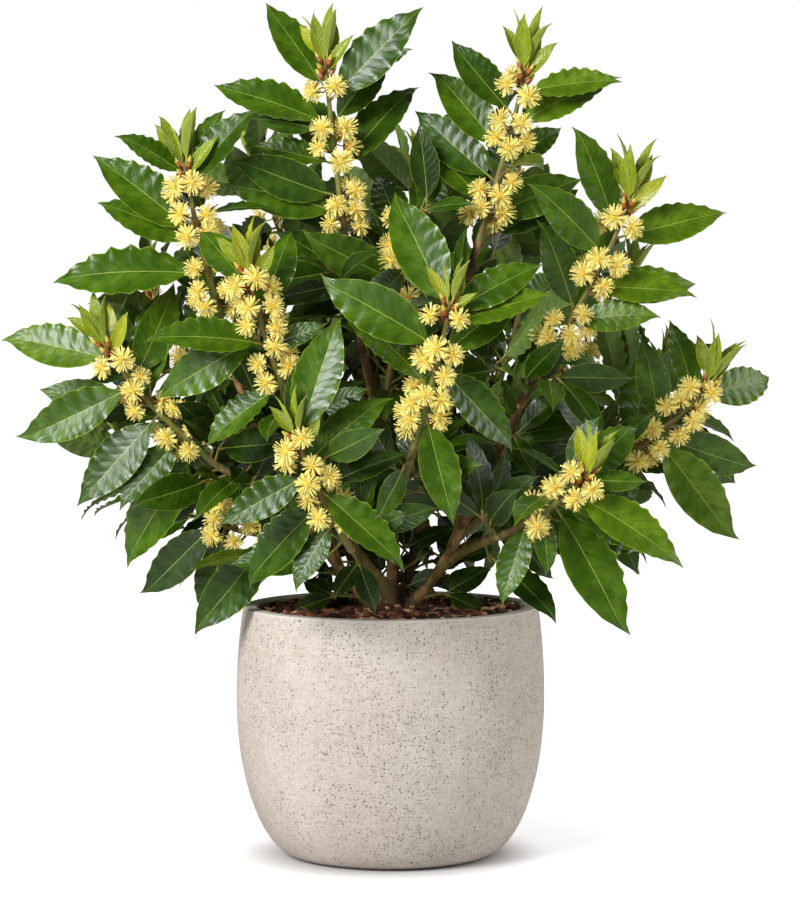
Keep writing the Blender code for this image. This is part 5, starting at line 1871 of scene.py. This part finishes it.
# %% Sweep it
def turned_points(profile, sides, start_height, end_height, wander=0.0):
    """A closed profile of radius and height swept round +Z, from a point on the axis to another one."""
    angle = np.arange(sides) / sides * FULL_TURN
    rings = []
    for radius, z in profile:
        around = radius + wander * (np.sin(2 * angle + 9 * z) + 0.6 * np.sin(5 * angle + 2 + 25 * z))
        rings.append(np.stack([around * np.cos(angle), around * np.sin(angle), np.full(sides, z)], 1))
    return np.concatenate([*rings, [[0, 0, start_height], [0, 0, end_height]]])


POT_WANDER = 0.25 * MM
pot_points = turned_points(profile, POT_SIDES, 0.0, POT_FLOOR, POT_WANDER)
batches["pot_bowl"].add(pot_points, tube_faces(len(profile), POT_SIDES))
print("points round the pot:", len(pot_points))

# %% Grains and air holes
specks, given = new_group("specks", Scale=180.0, Size=0.14, Share=0.5)
cells = add_node(specks, "TexVoronoi", Vector=object_place(specks), Scale=given["Scale"]).outputs
chosen = wire(specks, "SeparateColor", "Red", Color=Wire(specks, cells["Color"]))
near = Wire(specks, cells["Distance"]) / given["Size"]
mask = (chosen < given["Share"]) * (1 - near.step(0.55, 1.0))
put_out(specks, Mask=mask, Height=mask * -1.0)

# %% Speckled concrete
FOOT_SHADE_BAND = 5 * MM  # painted shade on the foot, up to this height
SPECKS = (  # how many to a metre, their size, the share that shows, how strong they are, and their tone
    (185.0, 0.18, 0.32, 0.90, (76, 64, 57)),
    (300.0, 0.30, 0.50, 0.80, (104, 91, 83)),
    (520.0, 0.36, 0.50, 0.70, (116, 104, 96)),
    (420.0, 0.30, 0.30, 0.65, (220, 212, 201)),
)
concrete, tree, shader = start_material("speckled_concrete", 0.72)
place = object_place(tree)
clouds = noise(place, 9.0, 5.0, Roughness=0.6)
grain, mottle = noise(place, 700.0, 2.0), noise(place, 70.0, 4.0)
weave = noise(squeezed(place, 620.0, 60.0), 1.0, 2.0) + noise(squeezed(place, 90.0, 640.0), 1.0, 2.0)
base = blended(clouds.step(0.35, 0.65), (196, 184, 174), (208, 198, 188))
for factor, tone in (
    (mottle.step(0.4, 0.7) * 0.40, (184, 172, 160)),
    (weave.step(0.95, 1.25) * 0.26, (166, 153, 142)),
    (weave.step(0.95, 0.75) * 0.28, (226, 218, 208)),
    (grain.step(0.50, 0.70) * 0.45, (164, 150, 138)),
):
    base = blended(factor, base, tone)
height = (grain + weave * 0.4) * 0.3
crowd = 0.35 + noise(place, 26.0, 3.0).step(0.35, 0.65) * 1.3
for scale, size, share, strength, tone in SPECKS:
    drawn = use_group(tree, specks, Scale=scale, Size=size, Share=crowd * share)
    base = blended(drawn["Mask"] * strength, base, tone)
    height = height + drawn["Height"] * 0.5
up_pot = parts_of(place)[2]
# Painted shade on the foot, where the pot meets the floor.
base = blended((1 - up_pot.step(0.5 * MM, FOOT_SHADE_BAND)) * 0.8, base, (78, 62, 50))
# Painted highlight on the lip, where the light falls on its top.
base = blended(up_pot.step(POT_HEIGHT - LIP_ROUND, POT_HEIGHT - 0.5 * MM) * 0.6, base, (234, 227, 218))
paint(shader, Base_Color=base, Roughness=0.62 + clouds * 0.2)
add_bump(shader, height, 0.35 * MM, 0.8)
add_piece("pot_bowl", [concrete], ["pot"])

# %% [markdown]
# ## Bark mulch
#
# Chipped bark lies on the compost in a low mound: flat flakes up to a centimetre and a half, dark brown with
# redder broken faces. A lumpy bed fills the space under them, and each chip is a flat tube with its own
# outline, laid on the mound and tipped a little. The compost itself is hardly seen, so its solid stays and
# gets a finish.

# %% The mound
MULCH_EDGE = 204 * MM
HEAP_EDGE = 210.5 * MM  # the chips lie higher against the wall than the plain solid
SOIL_TOP = 190 * MM
FEET_RADIUS = 30 * MM
FEET_HEAP = 3 * MM  # the chips lie a little higher round the stems
BED_DROP = 1.5 * MM
BED_RINGS = 26
BED_SIDES = 96
BED_FOOT = SOIL_TOP + 0.5 * MM
bed_edge = pot_radius(MULCH_EDGE) - WALL - 0.8 * MM


def mound(radius):
    """The height of the mulch at a distance from the middle."""
    share = min(max(0.0, (radius - FEET_RADIUS) / (bed_edge - FEET_RADIUS)), 1.0)
    heap = FEET_HEAP * math.exp(-((radius / FEET_RADIUS) ** 2))
    return MULCH_TOP + (HEAP_EDGE - MULCH_TOP) * share**1.5 + heap


print("the mulch is", round(mound(bed_edge) / MM, 1), "mm up at the wall")


# %% Bark of the chips, and the bed under them
def bark_chip_material(name, dark, light):
    material, tree, shader = start_material(name, 0.85)
    drawn = use_group(tree, bark, Scale=260.0, Stretch=0.5)
    paint(shader, Base_Color=blended(drawn["Streak"], dark, light))
    add_bump(shader, drawn["Height"], 0.8 * MM)
    return material


CHIP_TONES = {
    "chip_dark": ((34, 16, 9), (58, 31, 18)),
    "chip_brown": ((64, 34, 19), (104, 62, 38)),
    "chip_red": ((108, 60, 34), (158, 98, 62)),
    "chip_pale": ((172, 128, 90), (222, 178, 134)),
}
chip_materials = [bark_chip_material(name, *tones) for name, tones in CHIP_TONES.items()]
bed_rings = [(bed_edge * (k + 0.5) / BED_RINGS) for k in range(BED_RINGS)]
bed_profile = [(bed_edge * 0.3, BED_FOOT), (bed_edge, BED_FOOT)]
bed_profile += [(radius, mound(radius) - BED_DROP) for radius in reversed(bed_rings)]
points = turned_points(bed_profile, BED_SIDES, BED_FOOT, MULCH_TOP - BED_DROP)
top = (points[:, 2] > MULCH_EDGE - 2 * BED_DROP) & (np.hypot(points[:, 0], points[:, 1]) < bed_edge - MM)
points[:, 2] += top * np.random.default_rng(7).uniform(-1.2, 1.0, len(points)) * MM
batches["mulch_bed"].add(points, tube_faces(len(bed_profile), BED_SIDES))
add_piece("mulch_bed", chip_materials[:1], ["bark_mulch"])

# %% Shapes of chips
CHIP_KINDS = 8
CHIP_SIDES = 7
CHIP_RINGS = ((0.55, -0.5), (0.95, -0.32), (1.0, 0.25), (0.6, 0.5))  # shares of the radius and the thickness


def chip_shape(chance):
    """A flat chip with its own outline, one unit across and high."""
    outline_shares = chance.uniform(0.72, 1.12, CHIP_SIDES)
    around = np.arange(CHIP_SIDES) / CHIP_SIDES * FULL_TURN
    edge = np.stack([np.cos(around) * outline_shares, np.sin(around) * outline_shares], 1)
    rings = []
    for share, z in CHIP_RINGS:
        rings.append(np.column_stack([edge * share, z + chance.uniform(-0.12, 0.12, CHIP_SIDES)]))
    return np.concatenate([*rings, [[0, 0, -0.5], [0.05, 0, 0.5]]])


chip_shapes = [chip_shape(np.random.default_rng(50 + kind)) for kind in range(CHIP_KINDS)]
chip_faces = [tube_faces(len(CHIP_RINGS), CHIP_SIDES, finish=k) for k in range(len(chip_materials))]
print("kinds of chip:", len(chip_shapes))

# %% Scatter the chips
CHIPS = 1200
CHIP_LENGTHS = (6 * MM, 14 * MM)
CHIP_SHARES = (34, 32, 20, 14)  # how many are dark, brown, red and pale, in a hundred
CHIP_EDGE = 28  # degrees: chips are split, so their edges are sharp
feet = [Vector((x * MM, y * MM)) for _, (x, y), *_ in STEMS.values()]
chance = random.Random("chips")
for number in range(CHIPS):
    radius = (bed_edge - 5 * MM) * math.sqrt(chance.random())
    angle = chance.uniform(0, FULL_TURN)
    place = Vector((radius * math.cos(angle), radius * math.sin(angle)))
    length = chance.uniform(*CHIP_LENGTHS) * (0.7 if radius > bed_edge - 16 * MM else 1.0)
    if min((place - foot).length for foot in feet) < 5 * MM + length * 0.15:
        continue
    size = np.array((length / 2, length * chance.uniform(0.28, 0.44), length * chance.uniform(0.22, 0.42)))
    tilt = Quaternion((math.cos(angle + 1), math.sin(angle + 1), 0), math.radians(chance.uniform(-28, 28)))
    turn = tilt @ Quaternion(UP, angle + math.pi / 2 + chance.uniform(-1.4, 1.4))
    height = mound(radius) + chance.uniform(-0.8, 1.8) * MM
    points = (chip_shapes[number % CHIP_KINDS] * size) @ np.array(turn.to_matrix()).T
    finish = chance.choices(range(len(chip_faces)), CHIP_SHARES)[0]
    batches["bark_chips"].add(points + np.array((*place, height)), chip_faces[finish])
add_piece("bark_chips", chip_materials, ["bark_mulch"], sharp=CHIP_EDGE)

# %% Compost
compost, tree, shader = start_material("compost", 0.95)
crumbs = noise(object_place(tree), 240.0, 6.0)
paint(shader, Base_Color=blended(crumbs, (34, 24, 18), (66, 48, 36)))
add_bump(shader, crumbs, 1.5 * MM)
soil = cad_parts["soil"].data
soil.materials.clear()
soil.materials.append(compost)
print("compost finished")
